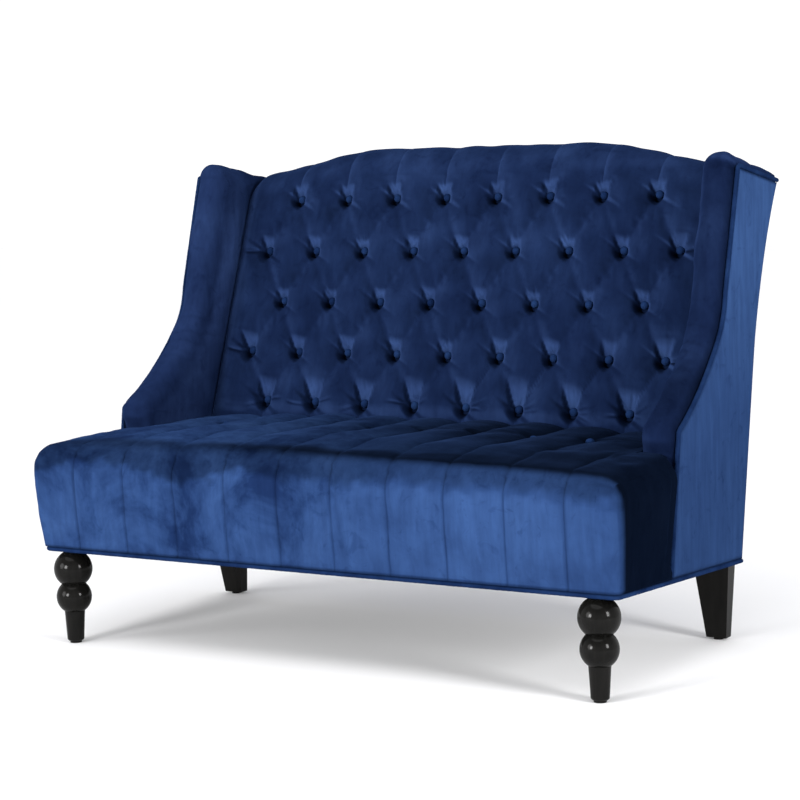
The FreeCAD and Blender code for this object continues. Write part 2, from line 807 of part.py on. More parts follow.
def spring_clip(x, y):
    """Clip over the end bar of a spring: a small plate on the rail and a saddle round the wire."""
    half_x, half_y = 9.0, 7.0
    saddle_half = 7.0
    wall = 0.6
    room = spring_wire + 0.1
    plate = box(x - half_x, x + half_x, y - half_y, y + half_y, rail_top_z + 0.1, spring_z - room)
    start = Vector(x - saddle_half, y, spring_z)
    saddle = Part.makeCylinder(room + wall, 2 * saddle_half, start, Vector(1, 0, 0))
    hole = Part.makeCylinder(room, 2 * saddle_half, start, Vector(1, 0, 0))
    return plate.fuse(saddle.cut(hole))


def spring_set(y0, y1):
    """Zigzag seat springs and the clips that hold their ends to the rails."""
    springs = []
    clips = []
    for i in range(spring_count):
        x = (i - (spring_count - 1) / 2) * spring_pitch
        start = Vector(x - spring_reach, y0, spring_z)
        ring = Part.Wire(Part.makeCircle(spring_wire, start, Vector(1, 0, 0)))
        springs.append(spring_path(x, y0, y1).makePipeShell([ring], True, True, 2))
        clips += [spring_clip(x, y0), spring_clip(x, y1)]
    return {"seat_springs": springs, "spring_clips": clips}


# ---- Base trim ----

def base_welt(rear_y):
    """Welt along the front and both sides of the lower edge."""
    lift = welt_radius + 0.2
    turn = 14.0
    bend = turn * (1 - math.sqrt(0.5))
    edge_x = half_width - welt_radius
    front_y = base_front_y + welt_radius

    def at(x, y):
        return Vector(x, y, underside(y, lift))

    left_rear = at(-edge_x, rear_y)
    left_turn = at(-edge_x, front_y + turn)
    front_left = at(-edge_x + turn, front_y)
    front_right = at(edge_x - turn, front_y)
    right_turn = at(edge_x, front_y + turn)
    right_rear = at(edge_x, rear_y)
    edges = [
        Part.makeLine(left_rear, left_turn),
        Part.Arc(left_turn, at(-edge_x + bend, front_y + bend), front_left).toShape(),
        Part.makeLine(front_left, front_right),
        Part.Arc(front_right, at(edge_x - bend, front_y + bend), right_turn).toShape(),
        Part.makeLine(right_turn, right_rear),
    ]
    section = Part.Wire(Part.makeCircle(welt_radius, left_rear, edges[0].tangentAt(0)))
    return Part.Wire(edges).makePipeShell([section], True, True, 2)


def dust_cover(rear_y):
    """Cloth that closes the underside, cut out round the legs."""
    edge = 2 * welt_radius + 3.2
    cloth_lift = (3.0, 4.5)
    cloth = box(-half_width + edge, half_width - edge, base_front_y + edge, rear_y - edge, 0, big)
    cloth = cloth.common(layer(*cloth_lift))
    head_x, head_y, middle = rear_leg_head
    room_x = head_x / 2 + 1
    openings = [
        post(leg_x, front_leg_y, leg_spigot_radius + 11, 0, big),
        box(rear_leg_x - room_x, rear_leg_x + room_x, middle - head_y / 2 - 10, big, 0, big),
    ]
    return cloth.cut(Part.makeCompound(both_sides(openings)))


def base_trim():
    """Lower welt and dust cover."""
    rear_y = rear(underside(rear_foot_y)) - fit_gap
    return {"base_welt": base_welt(rear_y), "dust_cover": dust_cover(rear_y)}


def export(nodes):
    """Move the settee so that its origin is under its middle, and write one STEP file per node."""
    shapes = {n: s if isinstance(s, Part.Shape) else Part.makeCompound(s) for n, s in nodes.items()}
    whole = Part.makeCompound(list(shapes.values())).optimalBoundingBox(False)
    shift = Vector(0, -(whole.YMin + whole.YMax) / 2, 0)
    for name, shape in sorted(shapes.items()):
        shape.translate(shift)
        solids = shape.Solids
        valid = shape.isValid() and all(s.isClosed() for s in solids)
        print(name, len(solids), "solid(s)", round(shape.Volume), "valid" if valid else "NOT VALID")
        if len(solids) == 1:
            shape = solids[0]
        shape.exportStep("parts/" + name + ".step")
    size = (whole.XLength, whole.YLength, whole.ZLength)
    print("size", [round(length, 1) for length in size], "shift", round(shift.y, 2))


settee = {}
for build in (leg_set, frame_rails, frame_back, wing_set, back_set, seat_set, base_trim):
    settee.update(build())
export(settee)
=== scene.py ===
"""Looks of the high-back wing settee: velvet covers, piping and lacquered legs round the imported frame.

Metres. Shapes are drawn with y = 0 at the foot of the wings, as the part's source does, and placed()
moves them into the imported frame. Each cover is a closed mesh with its seams and wrinkles shaped in. The
covers of the back, the seat and the wings are also puffed, by a short cloth simulation of a coarse copy.
"""
import json
import math
import random
import bpy
import numpy as np
from mathutils import Matrix, Vector
from mathutils.kdtree import KDTree


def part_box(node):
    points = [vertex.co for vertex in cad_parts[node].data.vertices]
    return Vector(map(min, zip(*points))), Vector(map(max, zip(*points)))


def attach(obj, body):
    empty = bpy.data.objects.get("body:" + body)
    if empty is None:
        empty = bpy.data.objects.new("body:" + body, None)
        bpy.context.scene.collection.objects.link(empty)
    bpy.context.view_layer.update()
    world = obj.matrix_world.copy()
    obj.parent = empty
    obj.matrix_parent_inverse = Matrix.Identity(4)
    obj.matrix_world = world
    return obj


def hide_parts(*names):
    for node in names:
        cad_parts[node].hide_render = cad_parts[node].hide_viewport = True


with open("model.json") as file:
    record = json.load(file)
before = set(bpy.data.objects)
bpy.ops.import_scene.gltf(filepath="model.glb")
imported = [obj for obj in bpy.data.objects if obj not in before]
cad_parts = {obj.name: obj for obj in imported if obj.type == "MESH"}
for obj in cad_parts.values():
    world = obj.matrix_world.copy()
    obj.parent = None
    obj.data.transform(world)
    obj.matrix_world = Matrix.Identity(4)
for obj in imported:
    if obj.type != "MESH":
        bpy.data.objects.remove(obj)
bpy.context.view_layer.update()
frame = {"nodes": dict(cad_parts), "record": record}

# ---- Dimensions shared with the CAD ----
BASE_FRONT_Y = -0.239
BASE_FRONT_Z = 0.193
BASE_FALL = 0.054
FRONT_LEAN = 0.013
SEAT_SWELL_LEFT = 0.020
SEAT_SWELL_RIGHT = 0.008
HALF_WIDTH = 0.650
PAD_INNER_X = 0.575
SHOULDER_Z = 0.382
BACK_SLOPE = 0.37
BACK_CROWN = 0.020
BACK_FOOT_Z = 0.336
BACK_NOSE_Z = 0.945
PILLOW = 0.007
BUTTON_RADIUS = 0.0095
BUTTON_PITCH = 0.1245
BUTTON_ROWS = ((0.895, 8), (0.782, 9), (0.673, 8), (0.564, 9), (0.459, 8))
SEAT_BUTTON_Y = 0.118
SEAT_BUTTON_Z = 0.421
SEAT_BUTTON_PITCH = 0.1225
SEAT_BUTTONS = 8
SEAT_SEAMS = (0.061, 0.184, 0.306, 0.430, 0.552)
SEAT_EDGE_Z = 0.412
SEAT_LOW_LIP = 0.0098
SEAT_REAR_Y = 0.262
SEAT_NOTCH_X = 0.5731
SEAT_STEP_X = 0.6223
SEAT_STEP_Y = -0.2281
PAD_BOTTOM_Z = 0.3330
CREST_Z = 0.999
WING_FOOT = (0.008, 0.187)
WING_TIP = (0.049, 0.458)
WING_SWEEP = ((0.161, 0.533), (0.255, 0.628))
WING_TURN = ((0.274, 0.664), (0.284, 0.705))
WING_PEAK = (0.354, 0.947)
WING_REAR_Z = 0.914
WING_ROLL = 0.030
WELT_RADIUS = 0.0045
BASE_REAR_Y = 0.36
PANEL_LIFT = 0.0086
REAR_GAP = 0.0006
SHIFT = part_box("base_welt")[0].y - BASE_FRONT_Y


def placed(points):
    """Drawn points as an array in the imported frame."""
    moved = np.array(points, float)
    moved[:, 1] += SHIFT
    return moved


def underside(y):
    """Height of the base's lower edge at depth y."""
    return BASE_FRONT_Z - BASE_FALL * (y - BASE_FRONT_Y)


def rear(z, inset=0.0):
    """Depth of the rear face at height z, less inset."""
    rake, bend, radius = 0.176, 0.560, 1.0
    z = np.asarray(z, float)
    straight = 0.358 + rake * (z - 0.152)
    level = radius / math.hypot(1.0, rake)
    above = np.maximum(z - bend, 0.0) + level * rake
    curled = 0.358 + rake * (bend - 0.152) + level - np.sqrt(radius ** 2 - above ** 2)
    return np.where(z <= bend, straight, curled) - inset


def tuft(z):
    """Depth of the back's button line at height z."""
    return 0.290 + BACK_SLOPE * (np.asarray(z, float) - 0.450)


def wing_front(z):
    """Depth of a wing's straight lower front at height z."""
    slope = (WING_TIP[0] - WING_FOOT[0]) / (WING_TIP[1] - WING_FOOT[1])
    return WING_FOOT[0] + slope * (np.asarray(z, float) - WING_FOOT[1])


def crest(x):
    """Height of the top edge of the back at x."""
    past = np.maximum(np.abs(x) - 0.240, 0.0)
    bent = np.minimum(past, 0.110)
    return CREST_Z - bent ** 2 / 1.1 - 0.2 * np.maximum(past - 0.110, 0.0)


# ---- Small numeric tools ----

def smooth(t):
    """0 below 0, 1 above 1 and a smooth step between."""
    t = np.clip(t, 0.0, 1.0)
    return t * t * (3 - 2 * t)


def ripple(points, size, seed, count=14):
    """Smooth seeded noise of about unit height, with features of the given size."""
    rng = np.random.default_rng(seed)
    total = np.zeros(len(points))
    for _ in range(count):
        direction = rng.normal(size=3)
        direction *= rng.uniform(0.6, 1.6) * 2 * math.pi / (size * np.linalg.norm(direction))
        total += np.sin(points @ direction + rng.uniform(0, 2 * math.pi))
    return total / math.sqrt(count / 2)


def spaced(low, high, step, marks=(), fine=None, reach=0.012):
    """Positions from low to high about step apart, closer together around the marks."""
    out = [low]
    marks = np.array(sorted(marks), float)
    while out[-1] < high - 1e-9:
        here = out[-1]
        near = np.min(np.abs(marks - here)) if len(marks) else 1.0
        size = step if fine is None else fine + (step - fine) * min(1.0, near / reach)
        ahead = marks[marks > here + 1e-6]
        following = here + size
        if len(ahead) and fine is not None and following > ahead[0] - 0.3 * fine:
            following = ahead[0]
        out.append(min(following, high))
    if len(out) > 2 and out[-1] - out[-2] < 0.3 * (fine or step):
        out.pop(-2)
    return np.array(out)


def bezier(a, b, c, d, t):
    t = np.asarray(t, float)[..., None]
    return (1 - t) ** 3 * a + 3 * (1 - t) ** 2 * t * b + 3 * (1 - t) * t * t * c + t ** 3 * d


def grid_normals(grid):
    """Unit normals of a rows x columns grid of points."""
    along = np.gradient(grid, axis=1)
    down = np.gradient(grid, axis=0)
    normal = np.cross(along, down)
    return normal / np.maximum(np.linalg.norm(normal, axis=2, keepdims=True), 1e-12)


def run_along(line):
    """Distance along a line of points, from its first to each."""
    return np.concatenate([[0], np.cumsum(np.linalg.norm(np.diff(line, axis=0), axis=1))])


def beside_line(x, z, a, b):
    """How far (x, z) lies along the line from a to b and across it, and the line's length."""
    dx, dz = b[0] - a[0], b[1] - a[1]
    length = math.hypot(dx, dz)
    along = ((x - a[0]) * dx + (z - a[1]) * dz) / length
    across = ((x - a[0]) * dz - (z - a[1]) * dx) / length
    return along, across, length


def both_sides(points):
    """The name of each side with the right-hand points, mirrored for the left."""
    return ("right", points), ("left", points * np.array([-1.0, 1.0, 1.0]))


# ---- Mesh helpers ----

def new_piece(name, points, faces, material, replaced=(), shade=None, calm=None):
    """A finished piece: mesh, material and place in the frame, with the CAD parts it replaces hidden.

    shade is the painted light and shade at each point (dark 0 to light 1), and calm where it is brushed
    evenly.
    """
    mesh = bpy.data.meshes.new(name)
    mesh.from_pydata([tuple(p) for p in points], [], faces)
    mesh.validate()
    mesh.polygons.foreach_set("use_smooth", [True] * len(mesh.polygons))
    # The painted light and shade is stored on the mesh as a per-point value.
    for attribute, values in (("painted_shading", shade), ("calm", calm)):
        if values is not None:
            layer = mesh.attributes.new(attribute, "FLOAT", "POINT")
            layer.data.foreach_set("value", np.asarray(values, np.float32))
    mesh.materials.append(material)
    piece = bpy.data.objects.new(name, mesh)
    bpy.context.scene.collection.objects.link(piece)
    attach(piece, "root")
    if replaced:
        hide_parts(*replaced)
    return piece


def quads(rows, columns, wrap_rows=False, start=0):
    """Faces of a grid whose point (i, j) has index start + i * columns + j."""
    faces = []
    for i in range(rows if wrap_rows else rows - 1):
        k = (i + 1) % rows
        for j in range(columns - 1):
            faces.append((start + i * columns + j, start + k * columns + j,
                          start + k * columns + j + 1, start + i * columns + j + 1))
    return faces


def ring_quads(rows, width):
    """Faces of a tube made of rows of width points, each row a closed ring."""
    faces = []
    for i in range(rows - 1):
        for j in range(width):
            n = (j + 1) % width
            faces.append((i * width + j, (i + 1) * width + j, (i + 1) * width + n, i * width + n))
    return faces


def outward(points, faces):
    """The faces, all turned over if the closed mesh they make is inside out."""
    cloud = np.asarray(points, float) - np.mean(points, axis=0)
    sizes = np.array([len(f) for f in faces])
    volume = 0.0
    for size in np.unique(sizes):
        cells = np.array([faces[k] for k in np.nonzero(sizes == size)[0]])
        for k in range(1, size - 1):
            a, b, c = cloud[cells[:, 0]], cloud[cells[:, k]], cloud[cells[:, k + 1]]
            volume += float(np.einsum("ij,ij->", a, np.cross(b, c)))
    return faces if volume > 0 else [tuple(reversed(f)) for f in faces]


def puffed(points, faces, held, facing, pressure=4.0, frames=16, cap=0.012, stiffness=12.0):
    """Cloth simulation of a coarse cover: how far each point moves when it is filled."""
    mesh = bpy.data.meshes.new("puff")
    cells = np.array(faces)
    diagonals = points[cells[:, 2:4]] - points[cells[:, 0:2]]
    across = np.cross(diagonals[:, 0], diagonals[:, 1])
    if np.einsum("ij,ij->", across, facing[cells[:, 0]]) < 0:
        faces = [tuple(reversed(f)) for f in faces]
    mesh.from_pydata([tuple(p) for p in points], [], faces)
    body = bpy.data.objects.new("puff", mesh)
    bpy.context.scene.collection.objects.link(body)
    pins = body.vertex_groups.new(name="pins")
    for i, weight in enumerate(held):
        if weight > 0.01:
            pins.add([i], float(weight), "REPLACE")
    modifier = body.modifiers.new("cloth", "CLOTH")
    cloth = modifier.settings
    cloth.quality = 5
    cloth.mass = 0.3
    cloth.tension_stiffness = stiffness
    cloth.compression_stiffness = stiffness
    cloth.shear_stiffness = stiffness / 2
    cloth.bending_stiffness = 0.3
    cloth.air_damping = 2.0
    cloth.use_pressure = True
    cloth.uniform_pressure_force = pressure
    cloth.effector_weights.gravity = 0.0
    cloth.vertex_group_mass = "pins"
    modifier.collision_settings.use_collision = False
    modifier.point_cache.frame_start = 1
    modifier.point_cache.frame_end = frames
    scene = bpy.context.scene
    for number in range(1, frames + 1):
        scene.frame_set(number)
    evaluated = body.evaluated_get(bpy.context.evaluated_depsgraph_get())
    result = np.empty(len(points) * 3)
    evaluated.data.vertices.foreach_get("co", result)
    scene.frame_set(1)
    bpy.data.objects.remove(body)
    bpy.data.meshes.remove(mesh)
    moved = result.reshape(-1, 3) - points
    length = np.linalg.norm(moved, axis=1, keepdims=True)
    moved *= np.minimum(1.0, cap / np.maximum(length, 1e-9))
    print("puffed", len(points), "points, largest move", round(float(length.max()), 4))
    return moved


def carried(sources, moved, targets, width):
    """Moves of the source points, blended at the target points with a bell of the given width."""
    tree = KDTree(len(sources))
    for i, point in enumerate(sources):
        tree.insert(point, i)
    tree.balance()
    out = np.zeros((len(targets), 3))
    for k, point in enumerate(targets):
        found = tree.find_n(point, 8)
        index = [f[1] for f in found]
        weight = np.exp(-(np.array([f[2] for f in found]) / width) ** 2) + 1e-9
        out[k] = (moved[index] * weight[:, None]).sum(axis=0) / weight.sum()
    return out


def resampled(field, rows, columns):
    """A coarse grid of values read at fractional row and column positions."""
    i = np.clip(np.floor(rows).astype(int), 0, field.shape[0] - 2)[:, None]
    j = np.clip(np.floor(columns).astype(int), 0, field.shape[1] - 2)[None, :]
    u = smooth(rows[:, None] - i)[..., None] * 0.5 + (rows[:, None] - i)[..., None] * 0.5
    v = smooth(columns[None, :] - j)[..., None] * 0.5 + (columns[None, :] - j)[..., None] * 0.5
    top = field[i, j] * (1 - v) + field[i, j + 1] * v
    low = field[i + 1, j] * (1 - v) + field[i + 1, j + 1] * v
    return top * (1 - u) + low * u


def puffed_grid(surface, normals, held, step, **filling):
    """Moves of a grid cover, from a simulation of every step-th row and column."""
    picks = [np.union1d(np.arange(0, size, step), [size - 1]) for size in surface.shape[:2]]
    coarse = np.ix_(*picks)
    counts = [len(pick) for pick in picks]
    moved = puffed(surface[coarse].reshape(-1, 3), quads(*counts), held[coarse].reshape(-1),
                   normals[coarse].reshape(-1, 3), **filling)
    places = [np.interp(np.arange(size), pick, np.arange(len(pick)))
              for size, pick in zip(surface.shape[:2], picks)]
    return resampled(moved.reshape(*counts, 3), *places)


# ---- Materials ----

def node_material(name):
    material = bpy.data.materials.new(name)
    material.use_nodes = True
    tree = material.node_tree
    return material, tree, tree.nodes["Principled BSDF"]


def add_node(tree, kind, **values):
    node = tree.nodes.new(kind)
    for key, value in values.items():
        if hasattr(node, key):
            setattr(node, key, value)
        else:
            node.inputs[key.replace("_", " ").title()].default_value = value
    return node


def stretched(tree, scale):
    """Object coordinates stretched by scale along each axis."""
    place = tree.nodes.new("ShaderNodeTexCoord")
    mapping = tree.nodes.new("ShaderNodeMapping")
    mapping.inputs["Scale"].default_value = scale
    tree.links.new(place.outputs["Object"], mapping.inputs["Vector"])
    return mapping.outputs["Vector"]


def noise_of(tree, vector, scale, detail=3.0, roughness=0.55, distortion=0.0):
    noise = add_node(tree, "ShaderNodeTexNoise", scale=scale, detail=detail,
                     roughness=roughness, distortion=distortion)
    tree.links.new(vector, noise.inputs["Vector"])
    return noise.outputs["Fac"]


def ramp_of(tree, value, stops):
    ramp = tree.nodes.new("ShaderNodeValToRGB")
    elements = ramp.color_ramp.elements
    while len(elements) < len(stops):
        elements.new(0.5)
    for element, (position, colour) in zip(elements, stops):
        element.position = position
        element.color = (*colour, 1.0)
    tree.links.new(value, ramp.inputs["Fac"])
    return ramp.outputs["Color"]


def mixed(tree, kind, factor, a, b):
    node = tree.nodes.new("ShaderNodeMix")
    node.data_type = "RGBA"
    node.blend_type = kind
    for socket, value in ((node.inputs[0], factor), (node.inputs[6], a), (node.inputs[7], b)):
        if isinstance(value, bpy.types.NodeSocket):
            tree.links.new(value, socket)
        elif isinstance(value, tuple):
            socket.default_value = (*value, 1.0)
        else:
            socket.default_value = value
    return node.outputs[2]


def bumped(tree, shader, heights):
    """Chain of bump nodes, one for each (height, strength, distance)."""
    last = None
    for height, strength, distance in heights:
        bump = tree.nodes.new("ShaderNodeBump")
        bump.inputs["Strength"].default_value = strength
        bump.inputs["Distance"].default_value = distance
        tree.links.new(height, bump.inputs["Height"])
        if last is not None:
            tree.links.new(last, bump.inputs["Normal"])
        last = bump.outputs["Normal"]
    tree.links.new(last, shader.inputs["Normal"])


def point_value(tree, name):
    """A value that the mesh stores at each point."""
    node = add_node(tree, "ShaderNodeAttribute", attribute_name=name)
    return node.outputs["Fac"]


def velvet(name, dark, mid, light, patch_scale=6.0, contrast=1.0, sheen=0.04):
    """Velvet: brushed patches, fine streaks along the nap, sheen, a soft bump for the nap, and colour
    multiplied by each point's painted light and shade.
    """
    material, tree, shader = node_material(name)
    even = stretched(tree, (1.0, 1.0, 1.0))
    patches = noise_of(tree, even, patch_scale, 5.0, 0.66, 0.35)
    spread = 0.16 / contrast
    patch_colour = ramp_of(tree, patches, ((0.5 - spread, dark), (0.5, mid), (0.5 + spread, light)))
    brushed = noise_of(tree, stretched(tree, (55.0, 55.0, 7.0)), 1.0, 3.0, 0.6, 0.3)
    streaks = ramp_of(tree, brushed, ((0.3, (0.80, 0.80, 0.82)), (0.7, (1.18, 1.18, 1.16))))
    smudges = noise_of(tree, even, 26.0, 3.0, 0.6, 1.4)
    smudge_colour = ramp_of(tree, smudges, ((0.30, (0.62, 0.64, 0.70)), (0.42, (1.0, 1.0, 1.0))))
    patch_colour = mixed(tree, "MIX", point_value(tree, "calm"), patch_colour, mid)
    colour = mixed(tree, "MULTIPLY", 0.75, patch_colour, streaks)
    colour = mixed(tree, "MULTIPLY", 0.6, colour, smudge_colour)
    # Painted light and shade: each point's stored value darkens the colour to a twentieth at 0 and brightens
    # it almost fourfold at 1.
    shade = ramp_of(tree, point_value(tree, "painted_shading"), ((0.0, (0.05, 0.036, 0.027)), (0.5, (1.0, 1.0, 1.0)),
                                                      (1.0, (3.9, 3.6, 3.1))))
    colour = mixed(tree, "MULTIPLY", 1.0, colour, shade)
    tree.links.new(colour, shader.inputs["Base Color"])
    shader.inputs["Roughness"].default_value = 0.75
    shader.inputs["Specular IOR Level"].default_value = 0.0
    shader.inputs["Sheen Weight"].default_value = sheen
    shader.inputs["Sheen Roughness"].default_value = 0.38
    shader.inputs["Sheen Tint"].default_value = (0.14, 0.30, 0.85, 1.0)
    nap = noise_of(tree, even, 900.0, 2.0, 0.6)
    mottle = noise_of(tree, stretched(tree, (1.0, 1.0, 0.45)), 70.0, 3.0, 0.6)
    bumped(tree, shader, ((mottle, 0.35, 0.0012), (nap, 0.35, 0.0004)))
    return material


def lacquer(name):
    """Black satin lacquer over turned wood, with faint grain and a little wear."""
    material, tree, shader = node_material(name)
    grain = noise_of(tree, stretched(tree, (60.0, 60.0, 5.0)), 1.0, 4.0, 0.6, 0.4)
    wear = noise_of(tree, stretched(tree, (1.0, 1.0, 1.0)), 35.0, 3.0, 0.6)
    colour = ramp_of(tree, grain, ((0.3, (0.0030, 0.0030, 0.0028)), (0.75, (0.0070, 0.0066, 0.0060))))
    tree.links.new(colour, shader.inputs["Base Color"])
    rough = tree.nodes.new("ShaderNodeMapRange")
    rough.inputs["To Min"].default_value = 0.20
    rough.inputs["To Max"].default_value = 0.32
    tree.links.new(wear, rough.inputs["Value"])
    tree.links.new(rough.outputs["Result"], shader.inputs["Roughness"])
    shader.inputs["Specular IOR Level"].default_value = 0.0
    shader.inputs["Coat Weight"].default_value = 0.50
    shader.inputs["Coat IOR"].default_value = 1.28
    shader.inputs["Coat Roughness"].default_value = 0.13
    bumped(tree, shader, ((grain, 0.12, 0.0006), (wear, 0.05, 0.0008)))
    return material


def timber(name, dark, light):
    material, tree, shader = node_material(name)
    grain = noise_of(tree, stretched(tree, (6.0, 45.0, 45.0)), 1.0, 5.0, 0.6, 1.2)
    pores = noise_of(tree, stretched(tree, (30.0, 300.0, 300.0)), 1.0, 3.0, 0.6)
    colour = ramp_of(tree, grain, ((0.3, dark), (0.7, light)))
    pitted = ramp_of(tree, pores, ((0.35, (0.6, 0.55, 0.5)), (0.55, (1, 1, 1))))
    colour = mixed(tree, "MULTIPLY", 0.4, colour, pitted)
    tree.links.new(colour, shader.inputs["Base Color"])
    shader.inputs["Roughness"].default_value = 0.6
    bumped(tree, shader, ((grain, 0.2, 0.001), (pores, 0.2, 0.0005)))
    return material


def metal(name, colour, rough):
    material, tree, shader = node_material(name)
    scratch = noise_of(tree, stretched(tree, (20.0, 300.0, 300.0)), 1.0, 4.0, 0.6)
    shade = tuple(c * 0.7 for c in colour)
    tree.links.new(ramp_of(tree, scratch, ((0.3, shade), (0.7, colour))), shader.inputs["Base Color"])
    shader.inputs["Metallic"].default_value = 1.0
    shader.inputs["Roughness"].default_value = rough
    bumped(tree, shader, ((scratch, 0.1, 0.0003),))
    return material


def woven(name, dark, light, pitch):
    """Plain woven cloth: crossed threads as colour and relief."""
    material, tree, shader = node_material(name)
    place = stretched(tree, (1.0, 1.0, 1.0))
    threads = []
    for axis in ("X", "Y"):
        wave = add_node(tree, "ShaderNodeTexWave", bands_direction=axis)
        wave.inputs["Scale"].default_value = 0.314 / pitch
        wave.inputs["Distortion"].default_value = 0.6
        tree.links.new(place, wave.inputs["Vector"])
        threads.append(wave.outputs["Fac"])
    cross = mixed(tree, "MULTIPLY", 1.0, threads[0], threads[1])
    fleck = noise_of(tree, place, 240.0, 3.0, 0.6)
    colour = ramp_of(tree, cross, ((0.0, dark), (0.8, light)))
    flecked = ramp_of(tree, fleck, ((0.3, (0.6, 0.6, 0.6)), (0.6, (1, 1, 1))))
    colour = mixed(tree, "MULTIPLY", 0.5, colour, flecked)
    tree.links.new(colour, shader.inputs["Base Color"])
    shader.inputs["Roughness"].default_value = 0.9
    bumped(tree, shader, ((cross, 0.4, 0.0004), (fleck, 0.2, 0.0004)))
    return material


# One blue velvet in lit and shaded copies, as painted light and shade for how light falls on each place:
# brighter tones for the seat front and the outer panels, darker ones for the back and the wings, the trim in
# between.
VELVET_FRONT_LIT = velvet("velvet_front_lit",
                      (0.0060, 0.0152, 0.0530), (0.0138, 0.0335, 0.100), (0.0200, 0.0465, 0.130),
                      patch_scale=6.5, contrast=1.1)
VELVET_BACK_SHADED = velvet("velvet_back_shaded",
                     (0.0037, 0.0082, 0.0290), (0.0053, 0.0117, 0.0385), (0.0071, 0.0156, 0.0495),
                     patch_scale=4.0, contrast=0.8)
VELVET_WING_SHADED = velvet("velvet_wing_shaded",
                     (0.0037, 0.0080, 0.0285), (0.0060, 0.0128, 0.0425), (0.0090, 0.0189, 0.0585),
                     patch_scale=4.5, contrast=0.8)
VELVET_SIDE_LIT = velvet("velvet_side_lit",
                     (0.0136, 0.0320, 0.0930), (0.0157, 0.0368, 0.1040), (0.0182, 0.0420, 0.116),
                     patch_scale=4.0, contrast=0.8)
VELVET_TRIM = velvet("velvet_trim", (0.0042, 0.0115, 0.042), (0.0074, 0.0198, 0.066), (0.0112, 0.0290, 0.088),
                     patch_scale=9.0, contrast=0.9)

FINISHES = {
    "leg_black": lacquer("leg_lacquer"),
    "frame_wood": timber("frame_timber", (0.30, 0.19, 0.10), (0.52, 0.37, 0.22)),
    "plywood": timber("board_ply", (0.36, 0.25, 0.14), (0.58, 0.44, 0.28)),
    "spring_steel": metal("spring_wire", (0.22, 0.22, 0.23), 0.35),
    "zinc_steel": metal("zinc_plate", (0.62, 0.63, 0.66), 0.38),
    "glide_plastic": lacquer("glide_nylon"),
    "webbing": woven("web_cloth", (0.10, 0.09, 0.07), (0.34, 0.30, 0.22), 0.003),
    "dust_cloth": woven("cambric", (0.004, 0.004, 0.004), (0.02, 0.02, 0.02), 0.0012),
    "deck_felt": woven("deck_felt", (0.12, 0.12, 0.12), (0.30, 0.30, 0.30), 0.004),
    "velvet": VELVET_TRIM,
}


def finish_frame():
    """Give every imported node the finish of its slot."""
    for entry in frame["record"]["subparts"]:
        mesh = frame["nodes"][entry["node"]].data
        mesh.materials.clear()
        mesh.materials.append(FINISHES[entry["material_slot"]])


# ---- Tufted back ----

def button_rows():
    """The (x, z) places of the back's buttons, row by row."""
    return [[(BUTTON_PITCH * (i - (count - 1) / 2), z) for i in range(count)] for z, count in BUTTON_ROWS]


def button_places():
    return [place for row in button_rows() for place in row]


def tuft_lines():
    """Valleys of the tufting: (low end, high end, kind) in (x, z)."""
    lines = []
    rows = button_rows()
    for upper, lower in zip(rows, rows[1:]):
        for a in lower:
            for b in upper:
                if abs(a[0] - b[0]) < 0.6 * BUTTON_PITCH:
                    lines.append((a, b, "diagonal"))
    for x, z in rows[0]:
        lines.append(((x, z), (x, 1.2), "crest"))
    for x, z in rows[-1]:
        lines.append(((x, 0.30), (x, z), "foot"))
    for row in (rows[1], rows[3]):
        for x, z in (row[0], row[-1]):
            side = math.copysign(1.0, x)
            lines.append(((x, z), (side * 0.60, z + 0.012), "edge"))
    return lines


# Range of heights and of half widths of the funnels above the buttons that are below the first value.
FUNNEL_SIZES = ((0.5, (0.052, 0.070), (0.024, 0.030)),
                (0.6, (0.032, 0.044), (0.017, 0.022)),
                (1.0, (0.026, 0.036), (0.014, 0.018)))


